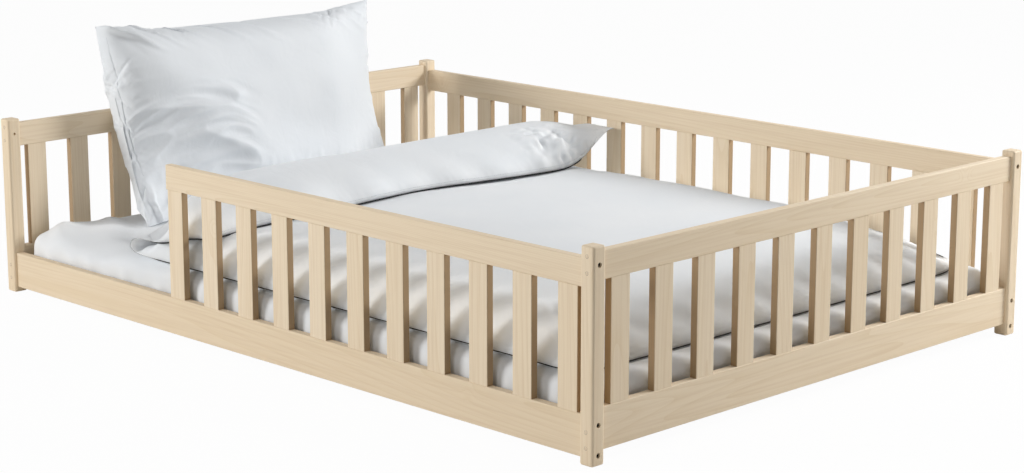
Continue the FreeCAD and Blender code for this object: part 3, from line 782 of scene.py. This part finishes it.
def creased(points):
    """Lifts soft creases in the sheet's top where no bedding lies on it."""
    free = ease((-0.575 - points[:, 0]) / 0.05) * ease((np.abs(points[:, 1]) - 0.40) / 0.12)
    free = free * ease((points[:, 2] - sheet_high.z + edge_drop) / edge_drop)
    moved = points.copy()
    from_corner = np.arctan2(np.abs(points[:, 1]) - 0.30, points[:, 0] + 1.25)
    fan = np.sin(26 * from_corner + 1.5 * ripples(points[:, :2], 0.3, 21))
    small = ripples(points[:, :2] * (1.0, 1.6), 0.16, 8)
    moved[:, 2] += free * (crease_fan_height * fan + crease_ripple_height * small)
    return moved


loops = []
for share in np.linspace(1, 0.1, 6):
    loops.append(loop(sheet_half, tuck_depth * share, sheet_bottom_z + 1.2 * mm))
loops.append(loop(sheet_half, 2.4 * mm, sheet_bottom_z + 2.6 * mm))
loops.append(loop(sheet_half, 0.6 * mm, sheet_bottom_z + 6 * mm))
for share in np.linspace(0.06, 0.94, 12):
    side_z = sheet_bottom_z + (sheet_high.z - edge_drop - sheet_bottom_z) * share
    loops.append(gathered(loop(sheet_half, 0.0, side_z)))
for angle in np.linspace(0, 0.5, 13) * math.pi:
    inset = edge_reach * (1 - math.cos(angle))
    edge = loop(sheet_half, inset, sheet_high.z - edge_drop * (1 - math.sin(angle)))
    loops.append(creased(gathered(edge)))
for share in np.linspace(0, 1, 30)[1:] ** 1.3:
    inset = edge_reach + (sheet_half[1] * 0.97 - edge_reach) * share
    loops.append(creased(loop(sheet_half, inset, sheet_high.z)))
points, quads = stacked([swelled(points) for points in loops], closed_low=False)
sheet = piece_of("fitted_sheet_stretched", points, quads, sheet_cotton)
thickness = sheet.modifiers.new("cloth thickness", "SOLIDIFY")
thickness.thickness = cloth_thickness
thickness.offset = -1.0
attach(sheet, "mattress")
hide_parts("fitted_sheet")

# %% [markdown]
# ## Webbing under the base
# Two cotton tapes run along under the base slats, so that the base rolls up. A tape lies against
# each slat and hangs a little between them, which a plain strip wouldn't show.

# %% Webbing straps
strap_low, strap_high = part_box("webbing_straps")
base_low, base_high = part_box("base_slats")
base_slat_count = 14
base_slat_width = 70 * mm
strap_width = 25 * mm
strap_sag = 2.2 * mm
steps_per_slat = 14
slat_pitch = (base_high.x - base_low.x - base_slat_width) / (base_slat_count - 1)
points, quads = [], []
strap_x = np.linspace(strap_low.x, strap_high.x, steps_per_slat * (base_slat_count - 1) + 1)
between = ((strap_x - base_low.x) % slat_pitch - base_slat_width) / (slat_pitch - base_slat_width)
sag = strap_sag * np.sin(math.pi * np.clip(between, 0, 1)) ** 2
edge_shares = (-0.5, -0.44, 0.44, 0.5, 0.44, -0.44)
edge_levels = np.array((0.5, 1.0, 1.0, 0.5, 0.05, 0.05)) * (strap_high.z - strap_low.z)
for middle_y in (strap_low.y + strap_width / 2, strap_high.y - strap_width / 2):
    first = len(points)
    for x, drop in zip(strap_x, sag):
        points += [(x, middle_y + strap_width * s, strap_low.z + level - drop - 0.1 * mm)
                   for s, level in zip(edge_shares, edge_levels)]
    ring = len(edge_shares)
    for step in range(len(strap_x) - 1):
        for k in range(ring):
            here = first + step * ring
            after = (k + 1) % ring
            quads.append((here + k, here + after, here + ring + after, here + ring + k))
    last = first + (len(strap_x) - 1) * ring
    for start, turn in ((first, 1), (last, -1)):
        for corners in ((0, 1, 2, 5), (2, 3, 4, 5)):
            quads.append(tuple(start + corner for corner in corners)[::turn])
straps = piece_of("webbing_tapes", points, quads, webbing())
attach(straps, "frame")
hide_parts("webbing_straps")
print("webbing tapes", [round(v, 3) for v in (strap_low.x, strap_high.x)], "sag", strap_sag)

# %% [markdown]
# ## Pillow
# The pillow is a long cotton case stuffed with fibre. It stands on the sheet and leans back on the
# head rail, slumped at its foot, with its front bottom corner pulled forward. It could be a smooth
# lens, but its four sharp ears, drawn-in edges and soft creases are what make it a pillow, so two
# flat panels are filled by pressure first. The creases that its own weight makes are then pressed
# into the front panel, and the filled shape is leaned into place.

# %% Pillow: fill two flat panels
pillow_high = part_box("pillow")[1]
flat_width = 1.00
flat_height = 0.60
pillow_rows = 124
pillow_columns = 76
start_bulge = 20 * mm

row_share = np.linspace(0, 1, pillow_rows)[:, None] * np.ones((1, pillow_columns))
column_share = np.linspace(0, 1, pillow_columns)[None, :] * np.ones((pillow_rows, 1))
start = start_bulge * np.sqrt(np.sin(math.pi * row_share) * np.sin(math.pi * column_share) + 1e-9)
flat_x = (row_share - 0.5) * flat_width
flat_y = (column_share - 0.5) * flat_height
points, quads, face_numbers, reverse_numbers = sewn(
    np.dstack([flat_x, flat_y, start]), np.dstack([flat_x, flat_y, -start]))
points = fill(piece_of("pillow_panels", points, quads, bedding_cotton), pressure=4.0, frames=16)
# The first rows, at the hem, are the finest
hem_rows = 8
fine_rows = np.concatenate([np.linspace(0, hem_rows, 30)[:-1], np.linspace(hem_rows, pillow_rows - 1, 225)])
fine_columns = np.linspace(0, pillow_columns - 1, 2 * pillow_columns - 1)
pillow_front, pillow_back = (finer(points[numbers], fine_rows, fine_columns)
                             for numbers in (face_numbers, reverse_numbers))
ear_reach = np.abs(points[face_numbers[[0, 0, -1, -1], [0, -1, 0, -1]], :2]).mean(0)
print("pillow half thickness", round(float(points[:, 2].max()), 3), "ear reach", ear_reach.round(3))

# %% Pillow: creases in the front panel
# A crease is given by shares of the panel: where it starts and ends, across and up, and how far it humps
crease_lines = (
    (-0.86, 0.64, -0.40, 0.64, 0.05),
    (-0.90, 0.52, -0.15, 0.52, 0.065),
    (-0.89, 0.385, -0.12, 0.375, 0.11),
    (-0.87, 0.285, -0.14, 0.31, 0.08),
    (-0.86, 0.19, -0.16, 0.22, 0.06),
)
crease_heights = np.array((2, 5, 6, 6, 5)) * mm
crease_width = 16 * mm
crumple_height = 11 * mm
panel_across = 2 * (fine_rows / (pillow_rows - 1))[:, None] - 1 + 0 * fine_columns[None, :]
panel_up = (fine_columns / (pillow_columns - 1))[None, :] + 0 * fine_rows[:, None]
panel_place = np.dstack([panel_across * flat_width / 2, panel_up * flat_height])


def soft_crease(line):
    """A ridge that starts narrow, widens and dies out, with a groove above its far half."""
    from_across, from_up, to_across, to_up, hump_share = line
    t = (panel_across - from_across) / (to_across - from_across)
    middle = from_up + (to_up - from_up) * t + 4 * hump_share * t * (1 - t)
    off = (panel_up - middle) * flat_height
    width = crease_width * (0.7 + 0.5 * np.clip(t, 0, 1))
    groove = ease((t - 0.25) / 0.4) * np.exp(-(off / width - 1.7) ** 2)
    return ease(t / 0.3) * ease((1 - t) / 0.22) * (np.exp(-(off / width) ** 2) - 0.7 * groove)


# Between the creases the cotton is crumpled in finer arcs
crease_relief = sum(height * soft_crease(line) for line, height in zip(crease_lines, crease_heights))
fan_up = panel_up - 0.10 * (1 - ((panel_across + 0.5) / 0.42) ** 2)
fan_place = np.dstack([0.16 * panel_across, fan_up * flat_height])
fan_window = ease((panel_across + 0.95) / 0.14) * ease((-0.08 - panel_across) / 0.22)
fan_window = fan_window * ease((0.68 - panel_up) / 0.16)
crumpled = 0.6 - np.abs(ripples(fan_place, 0.115, 39)) - 0.4 * np.abs(ripples(fan_place, 0.06, 40))
crease_relief = crease_relief * (0.75 + 0.5 * ripples(panel_place, 0.2, 38))
crease_relief = crease_relief + crumple_height * crumpled * fan_window
print("pillow creases up to", round(float(crease_relief.max()), 4))

# %% Pillow: ridge, hem and puckers
# A ridge runs down aslant from the upper front ear, with a hollow below it
ridge_height = 26 * mm
hollow_depth = 12 * mm
hollow_share = 0.56
flange_depth = 3.4 * mm
flange_width = 2.6 * mm
flange_low_share = 0.24
flange_high_share = 0.93
flange_up_shares = (0.10, 0.33, 0.82, 0.95)
flange_across_shares = (-0.885, -0.90, -0.972, -0.985)
top_pucker_height = 12 * mm
low_pucker_height = 7 * mm
side_pucker_height = 1 * mm
wander_height = 1 * mm

ridge_side = 0.761 * (panel_across + 0.9) * flat_width / 2 + 0.649 * (panel_up - 0.93) * flat_height
ridge = ridge_height * np.exp(-(ridge_side / 0.13) ** 2)
ridge = ridge - hollow_depth * np.exp(-((ridge_side + 0.21) / 0.12) ** 2)
flange_across = np.interp(panel_up, flange_up_shares, flange_across_shares)
flange_side = (panel_across - flange_across) * flat_width / 2
flange_window = ease((panel_up - flange_low_share) / 0.1) * ease((flange_high_share - panel_up) / 0.1)
flange_groove = -flange_depth * np.exp(-(flange_side / flange_width) ** 2) * flange_window
slanted = np.dstack([panel_place[..., 0] + 1.4 * panel_place[..., 1], 0.2 * panel_place[..., 1]])
top_puckers = np.maximum(ripples(slanted, 0.07, 31), 0) * ease((panel_up - 0.78) / 0.16)
low_puckers = np.maximum(ripples(panel_place * (1.0, 0.25), 0.05, 33), 0) * ease((0.24 - panel_up) / 0.2)
low_puckers = low_puckers * (1 + ease((-0.6 - panel_across) / 0.25))
side_puckers = np.maximum(ripples(panel_place * (0.3, 1.0), 0.05, 35), 0)
side_puckers = side_puckers * ease((-0.84 - panel_across) / 0.12)
seam_fade = dome(np.minimum(np.minimum(panel_up, 1 - panel_up) / 0.03, (1 - np.abs(panel_across)) / 0.02))
relief = crease_relief + ridge + top_pucker_height * top_puckers + low_pucker_height * low_puckers
relief = relief + side_pucker_height * side_puckers + wander_height * ripples(panel_place, 0.16, 37)
relief = relief + flange_groove
pillow_front[..., 2] *= 1 - hollow_share * ease(-ridge_side / 0.26)
pillow_front[..., 2] += relief * seam_fade
print("pillow relief from", round(float(relief.min()), 4), "to", round(float(relief.max()), 4))

# %% Pillow: lean it on the head rail
# How far the leaning edges reach from the head rail, by depth below the upper edge, as a constant, a
# straight and a cubic part
front_reaches = np.array((10, 150, 55)) * mm
back_reaches = np.array((-3, 0, 110)) * mm
rest_z = sheet_high.z + 0.5 * mm
rail_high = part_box("head_top_rail")[1]
rail_x = rail_high.x + 1.5 * mm
top_x = -1.000
half_width = 0.474
front_top_z = pillow_high.z + 7 * mm
back_top_z = pillow_high.z - 4 * mm
rail_overhang = 42 * mm
edge_straight_share = 0.75
top_straight_share = 0.55


def smoothed(values, times):
    """A grid of values, averaged with its neighbours again and again."""
    for _ in range(times):
        wide = np.pad(values, 1, mode="edge")
        values = (wide[:-2, 1:-1] + wide[2:, 1:-1] + wide[1:-1, :-2] + wide[1:-1, 2:]) / 4
    return values


def lean_pillow(front, back):
    """Leans the filled pillow on the rail. Its back flattens there and pushes its front out."""
    placed = []
    for panel in (front, back):
        across = panel[..., 0] / ear_reach[0]
        up = 0.5 + 0.5 * panel[..., 1] / ear_reach[1]
        left_draw, right_draw = 1 + across[:1], 1 - across[-1:]
        low_draw, high_draw = up[:, :1], 1 - up[:, -1:]
        right, left = np.clip(across, 0, 1) ** 3, np.clip(-across, 0, 1) ** 3
        across = across + edge_straight_share * (right_draw * right - left_draw * left)
        high, low = np.clip(2 * up - 1, 0, 1) ** 3, np.clip(1 - 2 * up, 0, 1) ** 3
        up = up + top_straight_share * high_draw * high - edge_straight_share * low_draw * low
        depth = 1 - up
        backward = 0.5 + 0.5 * across[..., None]
        reaches = front_reaches + (back_reaches - front_reaches) * backward
        rise = front_top_z + (back_top_z - front_top_z) * backward[..., 0] - rest_z
        middle_x = top_x + reaches[..., 0] + reaches[..., 1] * depth + reaches[..., 2] * depth ** 3
        lean = np.arctan((reaches[..., 1] + 3 * reaches[..., 2] * depth ** 2) / rise)
        thin = 1 - 0.5 * ease((across - 0.45) / 0.5)
        x = middle_x + panel[..., 2] * thin * np.cos(lean)
        z = rest_z + rise * up + panel[..., 2] * thin * np.sin(lean)
        placed.append(np.stack([x, across * half_width, np.maximum(z, rest_z)], -1))
    limit = rail_x - rail_overhang * ease((placed[1][..., 2] - rail_high.z) / (90 * mm))
    pressed = np.maximum(limit - placed[1][..., 0], 0)
    placed[1][..., 0] += pressed
    side_gap = half_width - np.abs(placed[0][..., 1])
    pushed = 0.6 * smoothed(pressed, 160) * ease(side_gap / (160 * mm))
    placed[0][..., 0] = np.maximum(placed[0][..., 0] + pushed, placed[1][..., 0])
    border = np.ones(pressed.shape, bool)
    border[1:-1, 1:-1] = False
    placed[0][border] = placed[1][border]
    return placed


pillow_front, pillow_back = lean_pillow(pillow_front, pillow_back)
points, quads, face_numbers, reverse_numbers = sewn(pillow_front, pillow_back)
pillow = piece_of("pillow_filled", points, quads, bedding_cotton)
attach(pillow, "pillow")
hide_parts("pillow")
print("pillow", len(quads), "quads, front reaches x", round(float(points[:, 0].max()), 3))

# %% [markdown]
# ## Duvet
# The duvet lies on the sheet from the foot end to a crease, where its head end is folded back over
# itself as a flap. It is one long pair of panels, sewn all round with a dark piping whose near-black
# is partly painted shadow. Each panel is laid out here along the duvet's own length: from the hem at
# the foot, along the bed, round the crease and back to the flap's free edge. The outer panel is the
# underside that the fold turns up to the light, and the inner one is the top that goes in under the
# flap. At the side seams both meet in one line. The filling then swells what is free, while what
# rests on something is held.

# %% Duvet: the measures of its fold
duvet_low, duvet_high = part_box("duvet")
half_y = duvet_high.y
foot_x = duvet_high.x
crease_x = duvet_low.x
body_rise = 90 * mm
flap_rise = 91 * mm
side_hem_rise = 8 * mm
foot_hem_rise = 4 * mm
flap_gap = 5 * mm
foot_round = 110 * mm
front_round = 95 * mm
back_round = 170 * mm
crease_round = 95 * mm
crease_undercut = 40 * mm
inner_x = crease_x + 85 * mm
flap_round = 170 * mm
far_lift = 88 * mm
front_seat = rest_z + 49 * mm
back_seat = rest_z + 95 * mm
body_count = 105
fold_count = 27
flap_count = 36
duvet_columns = 150
edge_place_shares = (-1.0, -0.88, -0.70, -0.24, -0.05, 0.12, 0.41, 0.70, 1.0)
edge_places_x = (-0.262, -0.250, -0.262, -0.288, -0.303, -0.302, -0.264, -0.240, -0.238)

spread = np.linspace(-1, 1, duvet_columns)
across_y = half_y * (0.72 * spread + 0.28 * np.sin(math.pi / 2 * spread))
end_gap = half_y - np.abs(across_y)
at_front = across_y < 0
edge_x = np.mean([np.interp(across_y / half_y + shift, edge_place_shares, edge_places_x)
                  for shift in np.linspace(-0.12, 0.12, 9)], 0)
lift = far_lift * ease((across_y - 0.42) / 0.27) ** 2.6
mouth_lip = 33 * mm
mouth_reach = 85 * mm
mouth_depth = (1 - ease((end_gap - 110 * mm) / (130 * mm))) * at_front
print("duvet from x", round(crease_x, 3), "to", round(foot_x, 3), "half width", round(half_y, 3))


# %% Duvet: the lower layer's top, and the round corners at the foot
def body_top(x):
    """Height of the lower layer's top across the bed, at a distance along it."""
    hem_z = rest_z + side_hem_rise + (foot_hem_rise - side_hem_rise) * ease(1 - (foot_x - x) / 0.15)
    to_corner = np.hypot(foot_x - x, half_y - across_y) / 0.45
    corner_share = 1 - 0.66 * (1 - ease(to_corner))
    side_round = np.where(at_front, front_round, back_round)
    share = dome(end_gap / side_round) * dome((foot_x - x) / foot_round) * corner_share
    top_z = hem_z + (rest_z + body_rise - hem_z) * share
    lip_height = mouth_lip * ease((x - crease_x - 20 * mm) / (90 * mm))
    lip_z = hem_z + lip_height * dome(end_gap / (25 * mm)) * (1 - 0.8 * ease((end_gap - 25 * mm) / (60 * mm)))
    return top_z + (lip_z - top_z) * (1 - ease((x - crease_x - mouth_reach) / (60 * mm))) * mouth_depth


def cornered(panel):
    """Rounds the two corners of a panel at the foot end, by the map from a square to a disc."""
    moved = panel.copy()
    radius = np.where(at_front, 80 * mm, 170 * mm)
    u = np.clip(1 - (foot_x - panel[..., 0]) / radius, 0, 1)
    v = np.clip(1 - end_gap / radius, 0, 1) * np.ones_like(u)
    moved[..., 0] -= radius * u * (1 - np.sqrt(1 - v ** 2 / 2))
    moved[..., 1] -= radius * v * (1 - np.sqrt(1 - u ** 2 / 2)) * np.sign(across_y)
    return moved


# %% Duvet: lay out its two panels
def duvet_panels():
    """The outer and the inner panel as grids of points, from the foot hem to the flap's edge."""
    outer, inner = [], []
    for share in np.linspace(0, 1, body_count) ** 1.15:
        x = foot_x + (inner_x - foot_x) * share
        near = np.minimum(end_gap, foot_x - x)
        hem_rise = np.where(end_gap < foot_x - x, side_hem_rise, foot_hem_rise)
        flat = rest_z + hem_rise * (1 - dome(near / (25 * mm)))
        outer.append(np.stack([np.full_like(across_y, x), across_y, flat], -1))
        inner.append(np.stack([np.full_like(across_y, x), across_y, body_top(x)], -1))

    hem_z = rest_z + side_hem_rise
    low_z = body_top(inner_x)
    seat = np.where(at_front, front_seat, back_seat)
    under_share = np.where(at_front, ease(end_gap / (170 * mm)), dome(end_gap / (60 * mm)))
    under_z = seat + (rest_z + body_rise + flap_gap - seat) * under_share
    crease_share = np.where(at_front, ease(end_gap / 0.30), dome(end_gap / (80 * mm)))
    crease_high = seat + (rest_z + body_rise + flap_rise - seat) * crease_share
    seam_x = np.where(at_front, crease_x + 6 * mm, crease_x + 12 * mm)
    left_x = seam_x + (crease_x - seam_x) * crease_share
    for turn in np.linspace(0, 1, fold_count + 2)[1:-1]:
        angle = math.pi * (turn - 0.5)
        depth, rise_z = math.cos(angle), math.sin(angle)
        end_x = inner_x - (inner_x - seam_x) * math.sin(math.pi * turn ** 0.66)
        end_share = np.where(at_front, ease(turn / 0.75), turn ** 1.8)
        end_z = hem_z + (seat - hem_z) * end_share
        round_x = crease_undercut if turn < 0.5 else crease_round
        full_x = left_x + round_x * (1 - depth)
        if turn < 0.22:
            full_x = full_x + (inner_x - full_x) * ease(1 - turn / 0.22)
        near_end = dome(end_gap / (60 * mm))
        outer_x = end_x + (full_x - end_x) * near_end
        outer_z = (rest_z + crease_high) / 2 + (crease_high - rest_z) / 2 * rise_z
        outer_z = end_z + (outer_z - end_z) * near_end
        outer.append(np.stack([outer_x, across_y, outer_z], -1))
        inside = ease((end_gap - 70 * mm * at_front) / (200 * mm))
        rise_share = end_share + (0.5 + 0.5 * rise_z - end_share) * inside
        floor_z = low_z + (hem_z - low_z) * mouth_depth * ease(turn / 0.15)
        inner_z = floor_z + (under_z - floor_z) * rise_share
        wall_x = end_x + 10 * mm * depth * dome(end_gap / (40 * mm))
        fold_x = wall_x + (inner_x - 25 * mm * depth - wall_x) * inside
        inner.append(np.stack([fold_x, across_y, inner_z], -1))

    start_x = np.maximum(left_x + crease_round, inner_x)
    side_share = dome(end_gap / np.where(at_front, 140 * mm, 90 * mm))
    for share in np.linspace(0, 1, flap_count) ** 0.85:
        x_inner = inner_x + (edge_x - inner_x) * share
        x_outer = start_x + (edge_x - start_x) * share
        edge_rise = np.where(at_front, 38 * mm * ease(share), 0.0) * (1 - under_share)
        below = under_z + edge_rise + lift * ease(share / 0.6)
        full = rest_z + body_rise + flap_rise + 0.1 * lift
        top = below + np.maximum(full - below, 0) * side_share
        top = crease_high + (top - crease_high) * ease(share / 0.35)
        top = below + np.maximum(top - below, 0) * dome((edge_x - x_outer) / flap_round)
        outer.append(np.stack([x_outer, across_y, top], -1))
        inner.append(np.stack([x_inner, across_y, below], -1))
    outer, inner = cornered(np.array(outer)), cornered(np.array(inner))
    border = np.ones(outer.shape[:2], bool)
    border[1:-1, 1:-1] = False
    outer[border] = inner[border] = (outer[border] + inner[border]) / 2
    return outer, inner


outer_panel, inner_panel = duvet_panels()
print("duvet panels", outer_panel.shape, "flap edge x", edge_x.min().round(3), edge_x.max().round(3))

# %% Duvet: sew and fill
# Held points lie on something. Loose ones have spare cloth: along the seams, and most at the flap's far end.
points, quads, outer_numbers, inner_numbers = sewn(outer_panel, inner_panel)
held = np.zeros(len(points))
held[outer_numbers[:body_count + 4]] = 1
held[inner_numbers[body_count - 1:]] = 1
held[inner_numbers[:body_count][inner_panel[:body_count, :, 0] < edge_x[None, :] + 10 * mm]] = 1
held[outer_numbers[:, [0, -1]]] = 1
held[outer_numbers[[0, -1], :]] = 1
flap_start = body_count + fold_count
loose = np.zeros(len(points))
loose[inner_numbers] = 0.5 * np.exp(-end_gap / (50 * mm))[None, :]
loose[outer_numbers[body_count:]] = 0.3 * np.exp(-end_gap / (60 * mm))[None, :]
flap_gap_x = edge_x[None, :] - outer_panel[flap_start:, :, 0]
far_end = ease((across_y - 0.40) / 0.2)[None, :]
loose[outer_numbers[flap_start:]] = np.maximum(0.35 * np.exp(-flap_gap_x / (45 * mm)), 0.9 * far_end)
swell_limit = 14 * mm
swollen = fill(piece_of("duvet_panels", points, quads, bedding_cotton), pressure=1.2, frames=14,
               held=held, loose=loose, slack=0.16, bending=0.02)
moved = swollen - points
size = np.linalg.norm(moved, axis=1, keepdims=True)
print("duvet swelled by", size.max().round(4))
points = points + moved * swell_limit * np.tanh(size / swell_limit) / np.maximum(size, 1e-9)

# %% Duvet: finer panels, with folds at the sides and puckers along the seams
fine_body_rows = 140
fine_flap_rows = 66
fine_duvet_columns = 236
open_rows = 110
pucker_height = 3.2 * mm
tuck_height = 5.5 * mm
soft_height = 1.6 * mm
flap_crumple_height = 13 * mm

body_places = np.linspace(0, flap_start, fine_body_rows)[:-1]
flap_places = np.linspace(flap_start, len(outer_panel) - 1, fine_flap_rows)
row_places = np.concatenate([body_places, flap_places])
column_places = np.linspace(0, duvet_columns - 1, fine_duvet_columns)
outer_panel, inner_panel = (finer(points[numbers], row_places, column_places)
                            for numbers in (outer_numbers, inner_numbers))


def seam_distance(panel):
    """Each point's distance from the nearest seam, along the cloth, and its place along that seam."""
    steps_r = np.linalg.norm(np.diff(panel, axis=0, prepend=panel[:1]), axis=-1)
    steps_c = np.linalg.norm(np.diff(panel, axis=1, prepend=panel[:, :1]), axis=-1)
    down, right = np.cumsum(steps_r, 0), np.cumsum(steps_c, 1)
    gaps = np.stack([down, down[-1:] - down, right, right[:, -1:] - right], -1)
    along = np.stack([right, right, down, down], -1)
    nearest = gaps.argmin(-1)[..., None]
    return np.take_along_axis(gaps, nearest, -1)[..., 0], np.take_along_axis(along, nearest, -1)[..., 0]


visible_rows = (slice(fine_body_rows - 1, None), slice(0, open_rows))
for panel, rows, seed in zip((outer_panel, inner_panel), visible_rows, (41, 43)):
    gap, along = seam_distance(panel)
    puckers = np.abs(ripples(np.dstack([along, 0.15 * gap]), 0.034, seed))
    puckers = puckers * np.exp(-gap / (22 * mm)) * dome(gap / (5 * mm))
    tucks = ripples(np.dstack([along, 0.25 * gap]), 0.17, seed + 1)
    tucks = tucks * np.exp(-(gap / (110 * mm)) ** 2) * dome(gap / (30 * mm))
    soft = ripples(panel[..., :2], 0.45, seed + 2) * dome(gap / 0.2)
    far_end = ease((panel[..., 1] - 0.36) / 0.16) * dome(gap / (25 * mm)) * (panel is outer_panel)
    crumples = np.abs(ripples(panel[..., :2], 0.11, seed + 3))
    crumples = crumples + 0.7 * np.abs(ripples(panel[..., :2], 0.05, seed + 4))
    direction = facing(panel) * (1 if panel is outer_panel else -1)
    off_crest = 1 - ease((panel[-1:, :, 0] - panel[..., 0] - 90 * mm) / (80 * mm))
    off_crest = off_crest * (1 - ease((panel[..., 1] - 0.55) / 0.08))
    relief = pucker_height * puckers + tuck_height * tucks + soft_height * soft
    relief += flap_crumple_height * far_end * off_crest * (crumples - 0.5)
    panel[rows] += (relief[..., None] * direction)[rows]
points, quads, outer_numbers, inner_numbers = sewn(outer_panel, inner_panel)
duvet = piece_of("duvet_filled", points, quads, duvet_cotton)
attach(duvet, "duvet")
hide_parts("duvet")
print("duvet", len(quads), "quads")

# %% [markdown]
# ## Piping
# A thin dark cord, covered in cotton, is sewn into the duvet's seam all round. Its near-black is
# partly painted shadow: it draws the crisp dark line of shade along the hems and under the flap's
# edge. It follows the seam's own points, as a tube with its outer side turned away from the two
# panels. Round the crease and at the flap's far end it turns in and hardly shows.

# %% Piping round the duvet
flap_piping_radius = 2.2 * mm
hem_piping_radius = 1.3 * mm
sunk_piping_radius = 0.2 * mm
piping_sides = 8


def border_of(grid):
    """The points round a grid's border, in order."""
    return np.vstack([grid[0, :-1], grid[:-1, -1], grid[-1, :0:-1], grid[:0:-1, 0]])


seam_line = border_of(outer_panel)
inside = (outer_panel + inner_panel) / 2
inside_line = border_of(np.pad(inside[1:-1, 1:-1], ((1, 1), (1, 1), (0, 0)), mode="edge"))
tangent = np.roll(seam_line, -1, 0) - np.roll(seam_line, 1, 0)
tangent /= np.linalg.norm(tangent, axis=1, keepdims=True)
away = seam_line - inside_line
away -= (away * tangent).sum(1, keepdims=True) * tangent
away /= np.maximum(np.linalg.norm(away, axis=1, keepdims=True), 1e-9)
turned_under = ease((seam_line[:, 1] - 0.44) / 0.08) * (seam_line[:, 2] > rest_z + 60 * mm)
away += (np.array((-0.5, 0.0, -0.9)) - away) * turned_under[:, None]
away /= np.linalg.norm(away, axis=1, keepdims=True)
upward = np.cross(tangent, away)
on_flap = ease((seam_line[:, 2] - front_seat) / (6 * mm))
on_flap = on_flap * ease((seam_line[:, 0] - crease_x - 50 * mm) / (50 * mm))
on_flap = on_flap * (1 - ease((seam_line[:, 1] - 0.385) / 0.06) * (seam_line[:, 2] > back_seat + 20 * mm))
on_hem = ease((seam_line[:, 0] - inner_x) / (40 * mm)) * (1 - ease((seam_line[:, 2] - front_seat) / (6 * mm)))
radius = sunk_piping_radius + (flap_piping_radius - sunk_piping_radius) * on_flap
radius = (radius + (hem_piping_radius - sunk_piping_radius) * on_hem)[:, None]
middle = seam_line + away * radius * 0.7
turns = np.arange(piping_sides) / piping_sides * 2 * math.pi
around = np.cos(turns)[None, :, None] * away[:, None] + np.sin(turns)[None, :, None] * upward[:, None]
rings = middle[:, None] + radius[:, :, None] * around
numbers = np.arange(rings.shape[0] * piping_sides).reshape(-1, piping_sides)
after, beside = np.roll(numbers, -1, 0), np.roll(numbers, -1, 1)
quads = np.stack([numbers, beside, np.roll(beside, -1, 0), after], -1).reshape(-1, 4)
# Near-black cotton, partly painted shadow for the dark line along the seam
piping_shadow_cotton = cotton("cotton_piping_painted_shadow", "#17181A", "#222327", 7.54 * mm, 12 * mm, 0.5 * mm)
piping = piece_of("duvet_piping_shadow_line", rings.reshape(-1, 3), quads, piping_shadow_cotton)
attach(piping, "duvet")
print("piping", len(seam_line), "rings")

# %% [markdown]
# ## Stitches
# A row of stitches runs beside the flap's edge and along the hem of the pillow case. Each stitch is
# a short bead of thread that follows the seam, half sunk in the cloth. The thread's grey is partly
# painted shade, for the dark line that the seam's shadow draws.

# %% Stitches
tree, sizes, result = node_group("stitches", ("Stitch Pitch", "Stitch Length", "Thread Radius"))
path = add(tree, "GeometryNodeMeshToCurve", {"Mesh": sizes.outputs["Geometry"]})
spaced = add(tree, "GeometryNodeResampleCurve", {"Curve": path, "Length": sizes.outputs["Stitch Pitch"]},
             mode="LENGTH")
bead = add(tree, "GeometryNodeMeshIcoSphere", {"Radius": 1.0, "Subdivisions": 2})
half_length = add(tree, "ShaderNodeMath", {0: sizes.outputs["Stitch Length"], 1: 0.5}, operation="MULTIPLY")
thread_radius = sizes.outputs["Thread Radius"]
long = add(tree, "ShaderNodeCombineXYZ", {0: thread_radius, 1: thread_radius, 2: half_length})
drawn = add(tree, "GeometryNodeTransform", {"Geometry": bead.outputs["Mesh"], "Scale": long})
tangent_of = add(tree, "GeometryNodeInputTangent")
turned = add(tree, "FunctionNodeAlignRotationToVector", {"Vector": tangent_of}, axis="Z")
placed = add(tree, "GeometryNodeInstanceOnPoints",
             {"Points": spaced, "Instance": drawn, "Rotation": turned})
real = add(tree, "GeometryNodeRealizeInstances", {"Geometry": placed})
# Grey thread: partly painted shade along the seam line
thread = cotton("cotton_thread_seam_shade", "#C9CDD2", "#B4B9C0", 3.14 * mm, 4 * mm, 0.2 * mm)
covered = add(tree, "GeometryNodeSetMaterial", {"Geometry": real, "Material": thread})
set_inputs(tree, result, {0: covered})

stitch_sizes = {"Stitch Pitch": 4.6 * mm, "Stitch Length": 3.4 * mm, "Thread Radius": 0.5 * mm}
seam_inset = 9 * mm
bare_columns = 6
from_edge = np.cumsum(np.linalg.norm(np.diff(outer_panel[::-1], axis=0), axis=-1), 0)
flap_row = np.argmin(np.abs(from_edge - seam_inset), 0)
columns = np.arange(bare_columns, outer_panel.shape[1] - bare_columns)
flap_line = outer_panel[::-1][flap_row[columns] + 1, columns]
flange_row = np.argmin(np.abs(flange_side), 0)
stitched = (panel_up[0] > flange_low_share) & (panel_up[0] < flange_high_share)
heights = np.flatnonzero(stitched)
flange_line = pillow_front[flange_row[heights], heights]
for name, body, line in (("flap_stitches", "duvet", flap_line), ("pillow_stitches", "pillow", flange_line)):
    links = [(k, k + 1) for k in range(len(line) - 1)]
    stitches = grown(name, tree, stitch_sizes, line, links)
    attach(stitches, body)
    print(name, len(stitches.data.polygons), "faces")
